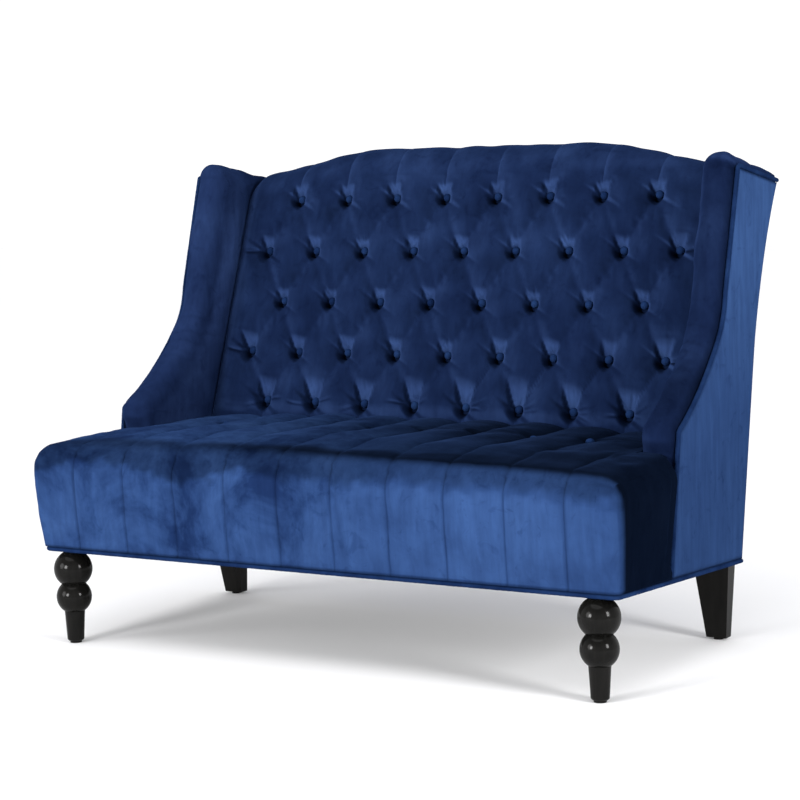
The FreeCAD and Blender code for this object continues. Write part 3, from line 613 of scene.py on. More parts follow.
def tuft_depth(x, z):
    """How far the cover lies behind its pillows at (x, z): soft folds, and a funnel above each button.

    The second result marks the funnels, for a painted highlight up to 1 on the slope above a button and
    painted shade down to -1 in the pit below.
    The third marks the climbing folds, for painted light up to 1 on their lower right side and painted shade
    down to -1 on their upper left.
    """
    depth = np.zeros_like(x)
    marks = np.zeros_like(x)
    fold_shading = np.zeros_like(x)
    for low_end, high_end, kind in tuft_lines():
        t, across, length = beside_line(x, z, low_end, high_end)
        inside = np.abs(across) < 0.085
        starts = smooth((t + 0.010) / 0.012)
        stops = smooth((length - t + 0.010) / 0.012)
        from_low = np.exp(-np.maximum(t, 0) / 0.020)
        from_high = np.exp(-np.maximum(length - t, 0) / 0.016)
        if kind == "diagonal":
            climbing = high_end[0] > low_end[0]
            deep = (0.0058 if climbing else 0.0022) + 0.0040 * from_low + 0.0050 * from_high
            ends = starts * stops
            wide = 0.028 if climbing else 0.016
            fall = 1 / (1 + (across / wide) ** 2) ** 1.5
            if climbing:
                slope = np.tanh(across / 0.0035) * np.exp(-np.abs(across) / 0.012)
                fold_shading += np.where(inside, ends * slope, 0.0)
        elif kind == "crest":
            deep = 0.0034 * smooth((1.05 - z) / 0.10) + 0.0005 + 0.0040 * from_low
            ends = smooth((t + 0.020) / 0.050)
            wide = np.where(across > 0, 0.009, 0.030)
            fall = np.exp(-np.abs(across) / wide)
        elif kind == "foot":
            deep = 0.0026 + 0.0050 * from_high
            ends = smooth((length - t + 0.020) / 0.050)
            fall = np.exp(-np.abs(across) / np.where(across > 0, 0.008, 0.020))
        else:
            deep = 0.0016 + 0.0080 * np.exp(-np.maximum(t, 0) / 0.018)
            ends = starts
            fall = np.exp(-np.abs(across) / 0.007)
        valley = np.where(inside, deep * ends * fall, 0.0)
        depth = (depth ** 4 + valley ** 4) ** 0.25
    rng = random.Random(17)
    for bx, bz in button_places():
        heights, widths = next(size for top, *size in FUNNEL_SIZES if bz < top)
        tall = rng.uniform(*heights)
        spread = rng.uniform(*widths)
        lean = rng.uniform(-0.10, 0.14)
        near = (np.abs(x - bx) < 0.06) & (z > bz - 0.05) & (z < bz + 0.12)
        u, v = x[near] - bx, z[near] - bz
        u = u - lean * np.maximum(v, 0)
        r = np.hypot(u, v)
        pit = 0.0268 * np.exp(-(np.maximum(r - BUTTON_RADIUS, 0) / 0.0055) ** 1.3)
        under = np.hypot(u, np.minimum(v + 0.005, 0) * 0.80)
        below = 0.0105 * np.exp(-(np.maximum(under - 0.008, 0) / 0.005) ** 1.4)
        pit = np.where(v < 0, np.maximum(pit, below), pit)
        half = 0.0075 + (spread - 0.0075) * np.clip(v / tall, 0, 1.3)
        slide = np.clip(1 - (v - 0.004) / tall, 0, 1) ** 1.25
        facet = 0.0235 * slide * smooth((half + 0.0055 - np.abs(u)) / 0.0065) * (v > 0)
        depth[near] = (depth[near] ** 4 + pit ** 4 + facet ** 4) ** 0.25
        bright = smooth((half + 0.001 - np.abs(u)) / 0.004) * smooth((v - 0.008) / 0.006)
        bright *= smooth((tall * 1.05 - v) / (tall * 0.8))
        dark = smooth((0.004 - v) / 0.006) * smooth((0.021 - np.hypot(u * 1.2, v * 0.9)) / 0.010)
        marks[near] += bright - dark
    return np.minimum(depth, PILLOW + BACK_CROWN), marks, fold_shading


def tuft_wrinkles(x, z):
    """Fine gathers that fan out of each button, strongest above it and in the lowest row."""
    rng = random.Random(41)
    relief = np.zeros_like(x)
    for bx, bz in button_places():
        low = bz < 0.5
        reach = 1.5 if low else 1.0
        fan = []
        for side in (-1, 1):
            for angles, lengths, depths in (((16, 26), (0.022, 0.034), (0.0012, 0.0020)),
                                            ((8, 17), (0.020, 0.034), (0.0007, 0.0015))):
                fan.append((90 + side * rng.uniform(*angles), reach * rng.uniform(*lengths),
                            rng.uniform(*depths)))
        for _ in range(rng.randint(2, 4) if low else 0):
            away = rng.choice((-1, 1))
            fan.append((90 + away * rng.uniform(58, 104), rng.uniform(0.024, 0.060 if low else 0.034),
                        rng.uniform(0.0010, 0.0022)))
        if abs(bx) > 0.49:
            fan.append((90 - math.copysign(rng.uniform(86, 96), bx), 0.052, 0.0024))
        near = (np.abs(x - bx) < 0.09) & (np.abs(z - bz) < 0.10)
        u, v = x[near] - bx, z[near] - bz
        for angle, length, deep in fan:
            bend = rng.uniform(-0.25, 0.25)
            dx, dz = math.cos(math.radians(angle)), math.sin(math.radians(angle))
            t = u * dx + v * dz
            across = u * dz - v * dx - bend * t * t / 0.05
            wide = 0.0015 + 0.022 * np.maximum(t, 0)
            run = smooth((t - 0.006) / 0.006) * smooth((length + 0.010 - t) / 0.020)
            relief[near] -= deep * run * np.exp(-(across / wide) ** 2)
    for low_end, high_end, kind in tuft_lines():
        if kind != "diagonal" or low_end[1] > 0.5 or high_end[0] < max(low_end[0], 0.05):
            continue
        t, across, length = beside_line(x, z, low_end, high_end)
        across = across - rng.uniform(-0.006, 0.006) * np.sin(math.pi * t / length)
        run = smooth((t - 0.01) / 0.02) * smooth((length - t) / 0.03)
        relief -= 0.0016 * run * np.exp(-(across / 0.0022) ** 2)
    return relief


def back_cover():
    """The tufted face and its top roll: points, normals, the tufting's depth, its marks and fold shading for
    painted light and shade, and lengths.
    """
    half = PAD_INNER_X - 0.003
    marks_x = sorted({round(BUTTON_PITCH / 2 * k, 5) for k in range(-9, 10)})
    columns = spaced(-half, half, 0.0040, marks_x, 0.0018, 0.022)
    marks_z = [z for z, _ in BUTTON_ROWS]
    face_z = spaced(BACK_FOOT_Z, BACK_NOSE_Z, 0.0036, marks_z, 0.0022, 0.030)
    roll = np.linspace(0, 1, 34)[1:]
    peak_at = 0.55
    drop = CREST_Z - crest(columns)
    grid = np.zeros((len(face_z) + len(roll), len(columns), 3))
    grid[:, :, 0] = columns[None, :]
    share = (face_z - BACK_FOOT_Z) / (BACK_NOSE_Z - BACK_FOOT_Z)
    z = face_z[:, None] - drop[None, :] * share[:, None] ** 4
    grid[:len(face_z), :, 1] = tuft(z) - BACK_CROWN
    grid[:len(face_z), :, 2] = z
    for j in range(len(columns)):
        nose_z = BACK_NOSE_Z - drop[j]
        top_z = CREST_Z - drop[j]
        rear_z = min(0.958, top_z - 0.0298)
        nose = np.array([tuft(nose_z) - BACK_CROWN, nose_z])
        peak = np.array([0.527 - BACK_SLOPE * drop[j], top_z])
        behind = np.array([rear(rear_z) - 0.0005, rear_z])
        front = bezier(nose, nose + np.array([0.0105, 0.0285]), peak - np.array([0.036, 0.0]), peak,
                       np.clip(roll / peak_at, 0, 1))
        back = bezier(peak, peak + np.array([0.045, 0.0]), behind + np.array([0.018, 0.026]), behind,
                      np.clip((roll - peak_at) / 0.45, 0, 1))
        grid[len(face_z):, j, 1:] = np.where((roll <= peak_at)[:, None], front, back)
    normals = grid_normals(grid)
    if normals[10, 10, 1] > 0:
        normals = -normals
    x = grid[:, :, 0]
    height = grid[:, :, 2]
    lengths = np.cumsum(np.vstack([np.zeros((1, len(columns))),
                                   np.linalg.norm(np.diff(grid, axis=0), axis=2)]), axis=0)
    unrolled = BACK_FOOT_Z + lengths / math.hypot(1.0, BACK_SLOPE)
    on_roll = (height >= 0.90) & (unrolled > 0.90)
    depth, marks, fold_shading = tuft_depth(x, np.where(on_roll, unrolled, height))
    sink = smooth((lengths - (lengths[-1:] - 0.030)) / 0.030)
    edge = 0.0075 * np.exp(-(half - np.abs(x)) / 0.010)
    depth = np.maximum(depth * (1 - sink), 0) + edge * (1 - sink)
    return grid, normals, depth, marks, fold_shading, lengths


def build_back():
    grid, normals, depth, marks, fold_shading, lengths = back_cover()
    rows = grid.shape[0]
    proud = PILLOW * smooth((grid[:, :, 2] - 0.432) / 0.030) * smooth((lengths[-1:] - lengths - 0.05) / 0.06)
    proud *= smooth((PAD_INNER_X - np.abs(grid[:, :, 0])) / 0.030)
    depth = depth * (BACK_CROWN + proud) / (BACK_CROWN + PILLOW)
    surface = grid + normals * (proud - depth)[..., None]
    held = smooth((depth - 0.0070) / 0.006)
    held[0, :] = held[-7:, :] = held[:, 0] = held[:, -1] = 1.0
    moved = puffed_grid(surface, normals, held, 3, pressure=3.0, frames=14, cap=0.008)
    calmer = 1 - 0.75 * smooth((grid[:, :, 2] - 0.925) / 0.05)
    surface = surface + moved * calmer[..., None]
    flat = surface.reshape(-1, 3)
    wrinkle = tuft_wrinkles(surface[:, :, 0], surface[:, :, 2])
    hand = ripple(flat, 0.09, 5).reshape(rows, -1) * 0.0009
    edge_fade = smooth((PAD_INNER_X - 0.003 - np.abs(surface[:, :, 0])) / 0.02)
    surface = surface + normals * ((wrinkle + hand * edge_fade)[..., None])
    surface[-1] = grid[-1]
    turned = grid_normals(surface)
    if turned[10, 10, 1] > 0:
        turned = -turned
    facing = turned - normals
    # Painted light: where the puffed cover tilts down or to the left of its base it gets lighter colour,
    # where it tilts up or to the right darker.
    lit = -0.80 * facing[:, :, 2] - 0.50 * facing[:, :, 0]

    hidden = []
    top = grid[-1]
    for share in (0.5, 1.0):
        ring = top.copy()
        ring[:, 1] = top[:, 1] - share * 0.050
        ring[:, 2] = top[:, 2] - share * 0.004
        hidden.append(ring)
    last = hidden[-1]
    for share in np.linspace(0, 1, 13)[1:]:
        ring = last.copy()
        ring[:, 2] = last[:, 2] + (BACK_FOOT_Z - last[:, 2]) * share
        ring[:, 1] = rear(ring[:, 2], 0.0572)
        hidden.append(ring)
    inner = hidden[-1]
    for share in (0.33, 0.66):
        ring = inner.copy()
        ring[:, 1] = inner[:, 1] + (surface[0, :, 1] - inner[:, 1]) * share
        hidden.append(ring)
    loop = np.concatenate([surface, np.array(hidden)], axis=0)
    count, width, _ = loop.shape
    points = placed(loop.reshape(-1, 3))
    faces = quads(count, width, wrap_rows=True)
    faces.append(tuple(i * width for i in range(count)))
    faces.append(tuple(i * width + width - 1 for i in reversed(range(count))))
    # Painted light and shade for the back: darker in the deepest pits, along the wrinkles and on the upper
    # left of the climbing folds; lighter or darker by tilt from lit; lighter on the lower right of the folds
    # and on the top roll; a painted highlight on the slope above each button and painted shade in the pit
    # below.
    full = np.zeros((count, width))
    full[:rows] = depth
    shade = 0.5 - 0.05 * smooth((full - 0.021) / 0.005)
    shade[:rows] += np.clip(np.where(lit > 0, 0.80, 1.0) * lit, -0.28, 0.34)
    shade[:rows] += 26.0 * np.clip(wrinkle, -0.006, 0)
    shade[:rows] += np.where(fold_shading > 0, 0.05, 0.09) * fold_shading + 0.06 * smooth((grid[:, :, 2] - 0.92) / 0.04)
    shade[:rows] += np.where(marks > 0, 0.50, 0.12) * marks
    shade = np.clip(shade, 0.02, 1.0)
    new_piece("back_cover", points, outward(points, faces), VELVET_BACK_SHADED, ("back_pad",),
              shade.reshape(-1))


# ---- Covered buttons ----

def seat_button_xs():
    return [SEAT_BUTTON_PITCH * (i - (SEAT_BUTTONS - 1) / 2) for i in range(SEAT_BUTTONS)]


def button_mesh(seed):
    """One covered button facing -Y, with gathers round its rim."""
    rng = random.Random(seed)
    top_y = -0.0090
    profile = [(0.0026, -0.0088), (0.0052, -0.0079), (0.0073, -0.0061), (0.0088, -0.0038),
               (0.0093, -0.0018), (0.0090, -0.0002), (0.0052, 0.0)]
    around = 28
    phase = rng.uniform(0, 6.28)
    points = [(0.0, top_y, 0.0)]
    for k, (radius, y) in enumerate(profile):
        for i in range(around):
            a = 2 * math.pi * i / around
            gather = 1 + (0.035 * math.sin(7 * a + phase) + 0.02 * math.sin(12 * a)) * smooth((k - 1) / 4)
            r = min(radius * gather, BUTTON_RADIUS)
            points.append((r * math.cos(a), y, r * math.sin(a)))
    faces = [(0, 1 + i, 1 + (i + 1) % around) for i in range(around)]
    for k in range(len(profile) - 1):
        base = 1 + k * around
        for i in range(around):
            n = (i + 1) % around
            faces.append((base + i, base + around + i, base + around + n, base + n))
    last = 1 + (len(profile) - 1) * around
    faces.append(tuple(last + i for i in reversed(range(around))))
    return np.array(points, float), faces


def build_buttons():
    rng = random.Random(9)

    def gathered(name, places, node):
        points, faces = [], []
        for number, (where, turn) in enumerate(places):
            local, cells = button_mesh(number)
            spin = Matrix.Rotation(rng.uniform(0, 6.28), 3, "Y")
            nod = Matrix.Rotation(rng.uniform(-0.14, 0.14), 3, "X")
            swing = Matrix.Rotation(rng.uniform(-0.14, 0.14), 3, "Z")
            matrix = np.array(turn @ (nod @ swing) @ spin)
            start = sum(len(p) for p in points)
            points.append(local @ matrix.T + np.array(where))
            faces += [tuple(start + i for i in f) for f in cells]
        cloud = placed(np.concatenate(points))
        new_piece(name, cloud, outward(cloud, faces), VELVET_TRIM, (node,),
                  np.full(len(cloud), 0.50))

    on_back = Matrix.Rotation(-math.atan(BACK_SLOPE), 3, "X")
    places = [((x, float(tuft(z)) - 0.0014, z), on_back) for x, z in button_places()]
    gathered("back_button_covers", places, "back_buttons")
    up = Matrix.Rotation(-math.pi / 2, 3, "X")
    seat = [((x, SEAT_BUTTON_Y, SEAT_BUTTON_Z + 0.0006), up) for x in seat_button_xs()]
    gathered("seat_button_covers", seat, "seat_buttons")


# ---- Seat ----

def box_surface(xs, ys, zs):
    """Closed box surface through the given positions: points and faces."""
    index = {}
    points = []
    faces = []

    def vertex(i, j, k):
        key = (i, j, k)
        if key not in index:
            index[key] = len(points)
            points.append((xs[i], ys[j], zs[k]))
        return index[key]

    def quad(*corners):
        faces.append(tuple(vertex(*corner) for corner in corners))

    nx, ny, nz = len(xs) - 1, len(ys) - 1, len(zs) - 1
    for i in range(nx):
        for j in range(ny):
            quad((i, j, nz), (i + 1, j, nz), (i + 1, j + 1, nz), (i, j + 1, nz))
            quad((i, j, 0), (i, j + 1, 0), (i + 1, j + 1, 0), (i + 1, j, 0))
    for i in range(nx):
        for k in range(nz):
            quad((i, 0, k), (i + 1, 0, k), (i + 1, 0, k + 1), (i, 0, k + 1))
            quad((i, ny, k), (i, ny, k + 1), (i + 1, ny, k + 1), (i + 1, ny, k))
    for j in range(ny):
        for k in range(nz):
            quad((0, j, k), (0, j, k + 1), (0, j + 1, k + 1), (0, j + 1, k))
            quad((nx, j, k), (nx, j + 1, k), (nx, j + 1, k + 1), (nx, j, k + 1))
    return np.array(points, float), faces


def seat_profile(x, y):
    """Extra height of the crowned seat top over its edge height at (x, y)."""
    across = np.interp(np.abs(x), [0.0, 0.24, 0.44, 0.573, 0.65], [0.026, 0.026, 0.019, 0.009, 0.0])
    along = np.interp(y, [-0.239, -0.20, -0.12, -0.04, 0.11, 0.27], [0.25, 0.42, 0.78, 0.95, 1.0, 0.93])
    return across * along


def seat_seams():
    """The x of every seam of the seat, from left to right."""
    return np.array(sorted([-v for v in SEAT_SEAMS] + list(SEAT_SEAMS)))


def seam_offset(x):
    """Signed distance to the nearest seat seam, and the share of the way across its channel."""
    seams = seat_seams()
    nearest = seams[np.argmin(np.abs(x[:, None] - seams[None, :]), axis=1)]
    edges = np.concatenate([[-0.672], seams, [0.672]])
    k = np.clip(np.searchsorted(edges, x) - 1, 0, len(edges) - 2)
    share = (x - edges[k]) / (edges[k + 1] - edges[k])
    return x - nearest, np.clip(share, 0, 1)


def seat_points(sharp):
    """The seat cover's surface for points given on its sharp-edged box, and how deep the tufting pulls it."""
    x, y, z = sharp.T.copy()
    on_top = smooth((z - (SEAT_EDGE_Z - 0.004)) / 0.004)
    on_low = z < 0.1941
    radius = 0.016 + 0.028 * smooth((z - 0.26) / 0.14)
    cx = np.clip(x, -HALF_WIDTH + radius, HALF_WIDTH - radius)
    cy = np.maximum(y, BASE_FRONT_Y + radius)
    top_radius = 0.044
    cz = np.minimum(z, SEAT_EDGE_Z - top_radius)
    out = np.stack([x - cx, y - cy, np.where(on_low, 0.0, z - cz)], axis=1)
    length = np.linalg.norm(out, axis=1)
    raised = np.abs(out[:, 2]) * radius / top_radius
    reach = np.maximum(np.abs(out[:, 0]), np.maximum(np.abs(out[:, 1]), raised))
    scale = np.where(length > 1e-9, reach / np.maximum(length, 1e-9), 0.0)
    px = cx + out[:, 0] * scale
    py = cy + out[:, 1] * scale
    pz = np.where(on_low, z, cz + out[:, 2] * scale)

    level = np.clip((pz - BASE_FRONT_Z) / (SHOULDER_Z - BASE_FRONT_Z), 0, 1)
    swell = np.where(px > 0, SEAT_SWELL_RIGHT, SEAT_SWELL_LEFT)
    px = px + np.sign(px) * swell * level * smooth((np.abs(px) - 0.576) / 0.05)
    lean = np.clip((pz - BASE_FRONT_Z) / 0.129, 0, 1.22)
    py = py - FRONT_LEAN * lean * smooth((-0.10 - y) / 0.13)

    offset, share = seam_offset(x)
    bulge = 4 * share * (1 - share)
    top_part = smooth((pz - 0.388) / 0.02) * on_top
    front_part = smooth((BASE_FRONT_Y + 0.02 - y) / 0.02) * (1 - on_top)
    run = np.interp(y, [-0.239, -0.21, -0.15, -0.05, 0.07, SEAT_BUTTON_Y, 0.16, 0.262],
                    [0.0022, 0.0032, 0.0046, 0.0058, 0.0076, 0.0100, 0.0090, 0.0075])
    wide = np.interp(y, [-0.239, -0.20, -0.10, 0.10, 0.262], [0.005, 0.007, 0.013, 0.020, 0.020])
    valley = run * np.exp(-np.abs(offset) / wide)
    outer = smooth((np.abs(x) - 0.50) / 0.02)
    fade = 1 - outer * smooth((y + 0.10) / 0.10)
    groove = (0.0019 * np.exp(-(offset / 0.0016) ** 2) + 0.0012 * np.exp(-np.abs(offset) / 0.006))
    climb = smooth((pz - 0.22) / 0.05)
    height = seat_profile(x, y) * on_top
    pz = pz + height + (0.0030 * bulge * smooth((y + 0.22) / 0.1) - valley * fade) * top_part
    py = py - (0.0042 * bulge * climb - groove * smooth((pz - 0.20) / 0.01)) * front_part
    side_part = smooth((np.abs(x) - 0.647) / 0.003) * (1 - on_top) * smooth((pz - 0.21) / 0.05)
    px = px + np.sign(px) * 0.002 * side_part * np.sin(np.clip((y + 0.239) / 0.25, 0, 1) * math.pi)

    sink = np.zeros(len(x))
    for bx in seat_button_xs():
        r = np.hypot(x - bx, y - SEAT_BUTTON_Y)
        floor = SEAT_EDGE_Z + seat_profile(np.array([bx]), np.array([SEAT_BUTTON_Y]))[0] - SEAT_BUTTON_Z
        pit = floor * np.exp(-(np.maximum(r - 0.0115, 0) / 0.012) ** 1.3) * on_top
        sink = np.maximum(sink, pit)
        core = (r < 0.0118) & (on_top > 0.9)
        pulled = np.minimum(pz, SEAT_EDGE_Z + height + 0.003 - pit * 1.1)
        pz = np.where(core, SEAT_BUTTON_Z, np.where(on_top > 0.9, pulled, pz))
    depth = np.maximum(sink, valley * top_part * fade)

    beside = np.abs(x) > SEAT_NOTCH_X
    limit = wing_front(pz) - 0.0105
    start = limit - 0.045
    squeezed = start + (limit - start) * np.clip((py - start) / (SEAT_REAR_Y - start), 0, 1)
    py = np.where(beside & (py > start), squeezed, py)
    tucked = smooth((py - limit + 0.016) / 0.016) * smooth((np.abs(x) - 0.600) / 0.040)
    px = px - np.sign(px) * 0.008 * tucked * smooth((pz - 0.20) / 0.02)
    on_frame = (np.abs(x) < SEAT_STEP_X) & (y > SEAT_STEP_Y)
    floor_z = np.where(on_frame, PAD_BOTTOM_Z, underside(py) + SEAT_LOW_LIP)
    pz = np.where(on_low, floor_z, np.where(z < 0.30, np.maximum(pz, underside(py) + SEAT_LOW_LIP), pz))
    rear_limit = tuft(pz) - BACK_CROWN - 0.0012
    py = np.minimum(py, rear_limit)
    return np.stack([px, py, pz], axis=1), depth


def seat_mesh(step, fine):
    """The seat's sharp-edged box, with closer points at its seams, buttons and edges."""
    marks = [*seat_seams(), -HALF_WIDTH, HALF_WIDTH]
    xs = spaced(-HALF_WIDTH, HALF_WIDTH, step, marks, fine, 0.020)
    steps = [SEAT_NOTCH_X - 0.0004, SEAT_NOTCH_X + 0.0004, SEAT_STEP_X - 0.0003, SEAT_STEP_X + 0.0002]
    xs = np.union1d(xs, steps + [-v for v in steps])
    ys = spaced(BASE_FRONT_Y, SEAT_REAR_Y, step, (BASE_FRONT_Y, SEAT_BUTTON_Y), fine, 0.050)
    ys = np.union1d(ys, [SEAT_STEP_Y - 0.0002, SEAT_STEP_Y + 0.0002])
    zs = spaced(0.194, SEAT_EDGE_Z, step, (SEAT_EDGE_Z,), fine, 0.060)
    return box_surface(xs, ys, zs)


def build_seat():
    sharp, faces = seat_mesh(0.0075, 0.0024)
    points, depth = seat_points(sharp)
    coarse_sharp, coarse_faces = seat_mesh(0.014, 0.0090)
    coarse, deep = seat_points(coarse_sharp)
    held = np.maximum(smooth((deep - 0.004) / 0.006), smooth((0.30 - coarse_sharp[:, 2]) / 0.05))
    held = np.maximum(held, (coarse_sharp[:, 1] > SEAT_REAR_Y - 0.004).astype(float))
    held = np.maximum(held, (coarse_sharp[:, 2] < 0.20).astype(float))
    beside = (np.abs(coarse_sharp[:, 0]) > 0.560) & (coarse_sharp[:, 1] > -0.03)
    held = np.maximum(held, beside.astype(float))
    loose = [cell for cell in coarse_faces if min(held[v] for v in cell) < 0.98]
    used = np.unique(np.array(loose))
    place = np.full(len(coarse), -1)
    place[used] = np.arange(len(used))
    sheet = [tuple(int(place[v]) for v in cell) for cell in loose]
    away = coarse - np.array([0.0, 0.05, 0.30])
    moved = np.zeros_like(coarse)
    moved[used] = puffed(coarse[used], sheet, held[used], away[used], pressure=0.8, frames=14, cap=0.007,
                         stiffness=25.0)
    points = points + carried(coarse_sharp, moved, sharp, 0.011)
    flat = points.copy()
    soft = smooth((flat[:, 2] - 0.21) / 0.04) * smooth((0.25 - sharp[:, 1]) / 0.03)
    soft *= 1 - smooth((np.abs(sharp[:, 0]) - 0.55) / 0.02) * smooth((sharp[:, 1] + 0.04) / 0.03)
    hand = ripple(flat, 0.11, 3) * 0.0009 + ripple(flat, 0.035, 4) * 0.00025
    points[:, 1] -= hand * soft * smooth((BASE_FRONT_Y + 0.02 - sharp[:, 1]) / 0.02)
    points[:, 2] += hand * soft * smooth((sharp[:, 2] - SEAT_EDGE_Z + 0.004) / 0.004)
    offset, _ = seam_offset(sharp[:, 0])
    front = smooth((BASE_FRONT_Y + 0.03 - sharp[:, 1]) / 0.03)
    # Painted light and shade for the seat: a dark band along the front's upper edge with a ragged lower edge,
    # the front lighter from the middle rightwards and a little darker again at its right end, dark pits and
    # channels on top, dark lines along the front seams, a dark strip along the lower edge, a near-black side
    # face, and a top that darkens to the right and to the rear.
    band_low = 0.372 + ripple(flat * np.array([1, 0, 0]), 0.16, 8) * 0.008 + ripple(flat, 0.04, 12) * 0.004
    band_top = -0.170 + ripple(flat * np.array([1, 0, 0]), 0.2, 9) * 0.010
    blend = 0.020 + 0.024 * smooth((flat[:, 0] + 0.2) / 0.5)
    in_band = smooth((flat[:, 2] - band_low + 0.5 * blend) / blend) * smooth((band_top - flat[:, 1]) / 0.035)
    shade = 0.52 + 0.07 * smooth((flat[:, 0] + 0.1) / 0.5) - 0.045 * smooth((flat[:, 0] - 0.42) / 0.18)
    shade -= 0.26 * in_band + 0.30 * smooth((depth - 0.010) / 0.008)
    shade -= 0.10 * np.exp(-(offset / 0.0022) ** 2) * front
    shade -= 0.30 * smooth((underside(flat[:, 1]) + 0.017 - flat[:, 2]) / 0.007)
    behind_front = sharp[:, 1] - BASE_FRONT_Y
    side = smooth((np.abs(sharp[:, 0]) - 0.648) / 0.002) * smooth((behind_front - 0.006) / 0.040)
    shade -= 0.70 * side
    on_top = smooth((flat[:, 2] - 0.385) / 0.02) * smooth((behind_front - 0.01) / 0.04)
    toward_right = smooth((flat[:, 0] + 0.50) / 1.05)
    shade -= on_top * (0.09 + 0.48 * toward_right + 0.12 * smooth((sharp[:, 1] + 0.10) / 0.22))
    new_piece("seat_cover", placed(points), outward(points, faces), VELVET_FRONT_LIT,
              ("seat_pad", "seat_front_band", "seat_side_band_left", "seat_side_band_right"),
              np.clip(shade, 0.02, 1), calm=0.70 * smooth((flat[:, 0] + 0.05) / 0.25))


# ---- Wings ----

def arc_points(a, m, b, count):
    """Points along the circle arc from a to b through m."""
    ax, ay, bx, by, mx, my = *a, *b, *m
    d = 2 * (ax * (my - by) + mx * (by - ay) + bx * (ay - my))
    aa, bb, mm = ax ** 2 + ay ** 2, bx ** 2 + by ** 2, mx ** 2 + my ** 2
    ux = (aa * (my - by) + mm * (by - ay) + bb * (ay - my)) / d
    uy = (aa * (bx - mx) + mm * (ax - bx) + bb * (mx - ax)) / d
    radius = math.hypot(ax - ux, ay - uy)
    t0 = math.atan2(ay - uy, ax - ux)
    tm = math.atan2(my - uy, mx - ux)
    t1 = math.atan2(by - uy, bx - ux)
    turn = (t1 - t0) % (2 * math.pi)
    if (tm - t0) % (2 * math.pi) > turn:
        turn -= 2 * math.pi
    return [(ux + radius * math.cos(t0 + turn * k / count), uy + radius * math.sin(t0 + turn * k / count))
            for k in range(count + 1)]


def wing_line(foot_z, step=0.0045, beyond=0.030):
    """Points and outward normals along a wing's front and top outline, starting at foot_z."""
    def straight(a, b):
        count = max(2, int(math.dist(a, b) / step))
        shares = np.arange(count + 1)[:, None] / count
        return np.array(a) + np.subtract(b, a) * shares

    rear_top = (float(rear(WING_REAR_Z)), WING_REAR_Z)
    away = np.subtract(rear_top, WING_PEAK)
    away = away / np.linalg.norm(away) * beyond
    stretches = [
        straight((float(wing_front(foot_z)), foot_z), WING_TIP),
        arc_points(WING_TIP, WING_SWEEP[0], WING_SWEEP[1], int(0.24 / step)),
        arc_points(WING_SWEEP[1], WING_TURN[0], WING_TURN[1], int(0.085 / step)),
        straight(WING_TURN[1], WING_PEAK),
        straight(WING_PEAK, (rear_top[0] + away[0], rear_top[1] + away[1])),
    ]
    points, normals = [], []
    for stretch in stretches:
        line = np.array(stretch)
        along = np.gradient(line, axis=0)
        along /= np.linalg.norm(along, axis=1, keepdims=True)
        sides = np.stack([-along[:, 1], along[:, 0]], axis=1)
        if points:
            before, after = normals[-1], sides[0]
            angle = math.atan2(before[0] * after[1] - before[1] * after[0], float(np.dot(before, after)))
            if angle < -0.15:
                count = int(abs(angle) / 0.12) + 1
                for k in range(1, count):
                    a = angle * k / count
                    turned = np.array([before[0] * math.cos(a) - before[1] * math.sin(a),
                                       before[0] * math.sin(a) + before[1] * math.cos(a)])
                    points.append(points[-1])
                    normals.append(turned)
            line, sides = line[1:], sides[1:]
        points += list(line)
        normals += list(sides)
    points, normals = np.array(points), np.array(normals)
    for _ in range(3):
        normals[1:-1] = (normals[:-2] + 2 * normals[1:-1] + normals[2:]) / 4
    normals /= np.linalg.norm(normals, axis=1, keepdims=True)
    return points, normals


def wing_grid():
    """Visible side of a wing's cover: a roll from the welt to the inner face, then inward to the back."""
    foot_z = 0.345
    points, normals = wing_line(foot_z)
    rows = len(points)
    rounds = np.linspace(0, math.pi / 2, 12)
    rise = np.interp(points[:, 1], [0.415, 0.440], [0.30, 1.0])
    rise = np.where(np.arange(rows) > rows * 0.3, 1.0, rise)
    sunk = 0.0008
    tall = WING_ROLL - sunk
    section = [(sunk + tall * math.sin(a), 0.6125 + 0.0288 * math.cos(a)) for a in rounds]
    section += [(sunk + tall * math.cos(a), 0.604 - 0.029 * math.sin(a)) for a in rounds]
    roll_columns = len(section)
    lengths = run_along(points + normals * WING_ROLL)
    share = lengths / lengths[-1]
    end_z = BACK_FOOT_Z + (0.900 - BACK_FOOT_Z) * share
    ends = np.stack([rear(end_z, 0.0585), end_z], axis=1)
    inward = np.linspace(0, 1, 40)[1:] ** 1.25
    grid = np.zeros((rows, roll_columns + len(inward), 3))
    for c, (n, x) in enumerate(section):
        grid[:, c, 0] = x
        grid[:, c, 1:] = points + normals * (n * rise)[:, None]
    base = grid[:, roll_columns - 1, 1:]
    for c, t in enumerate(inward):
        grid[:, roll_columns + c, 0] = PAD_INNER_X
        grid[:, roll_columns + c, 1:] = base + (ends - base) * t
    return grid, points, normals, roll_columns, lengths


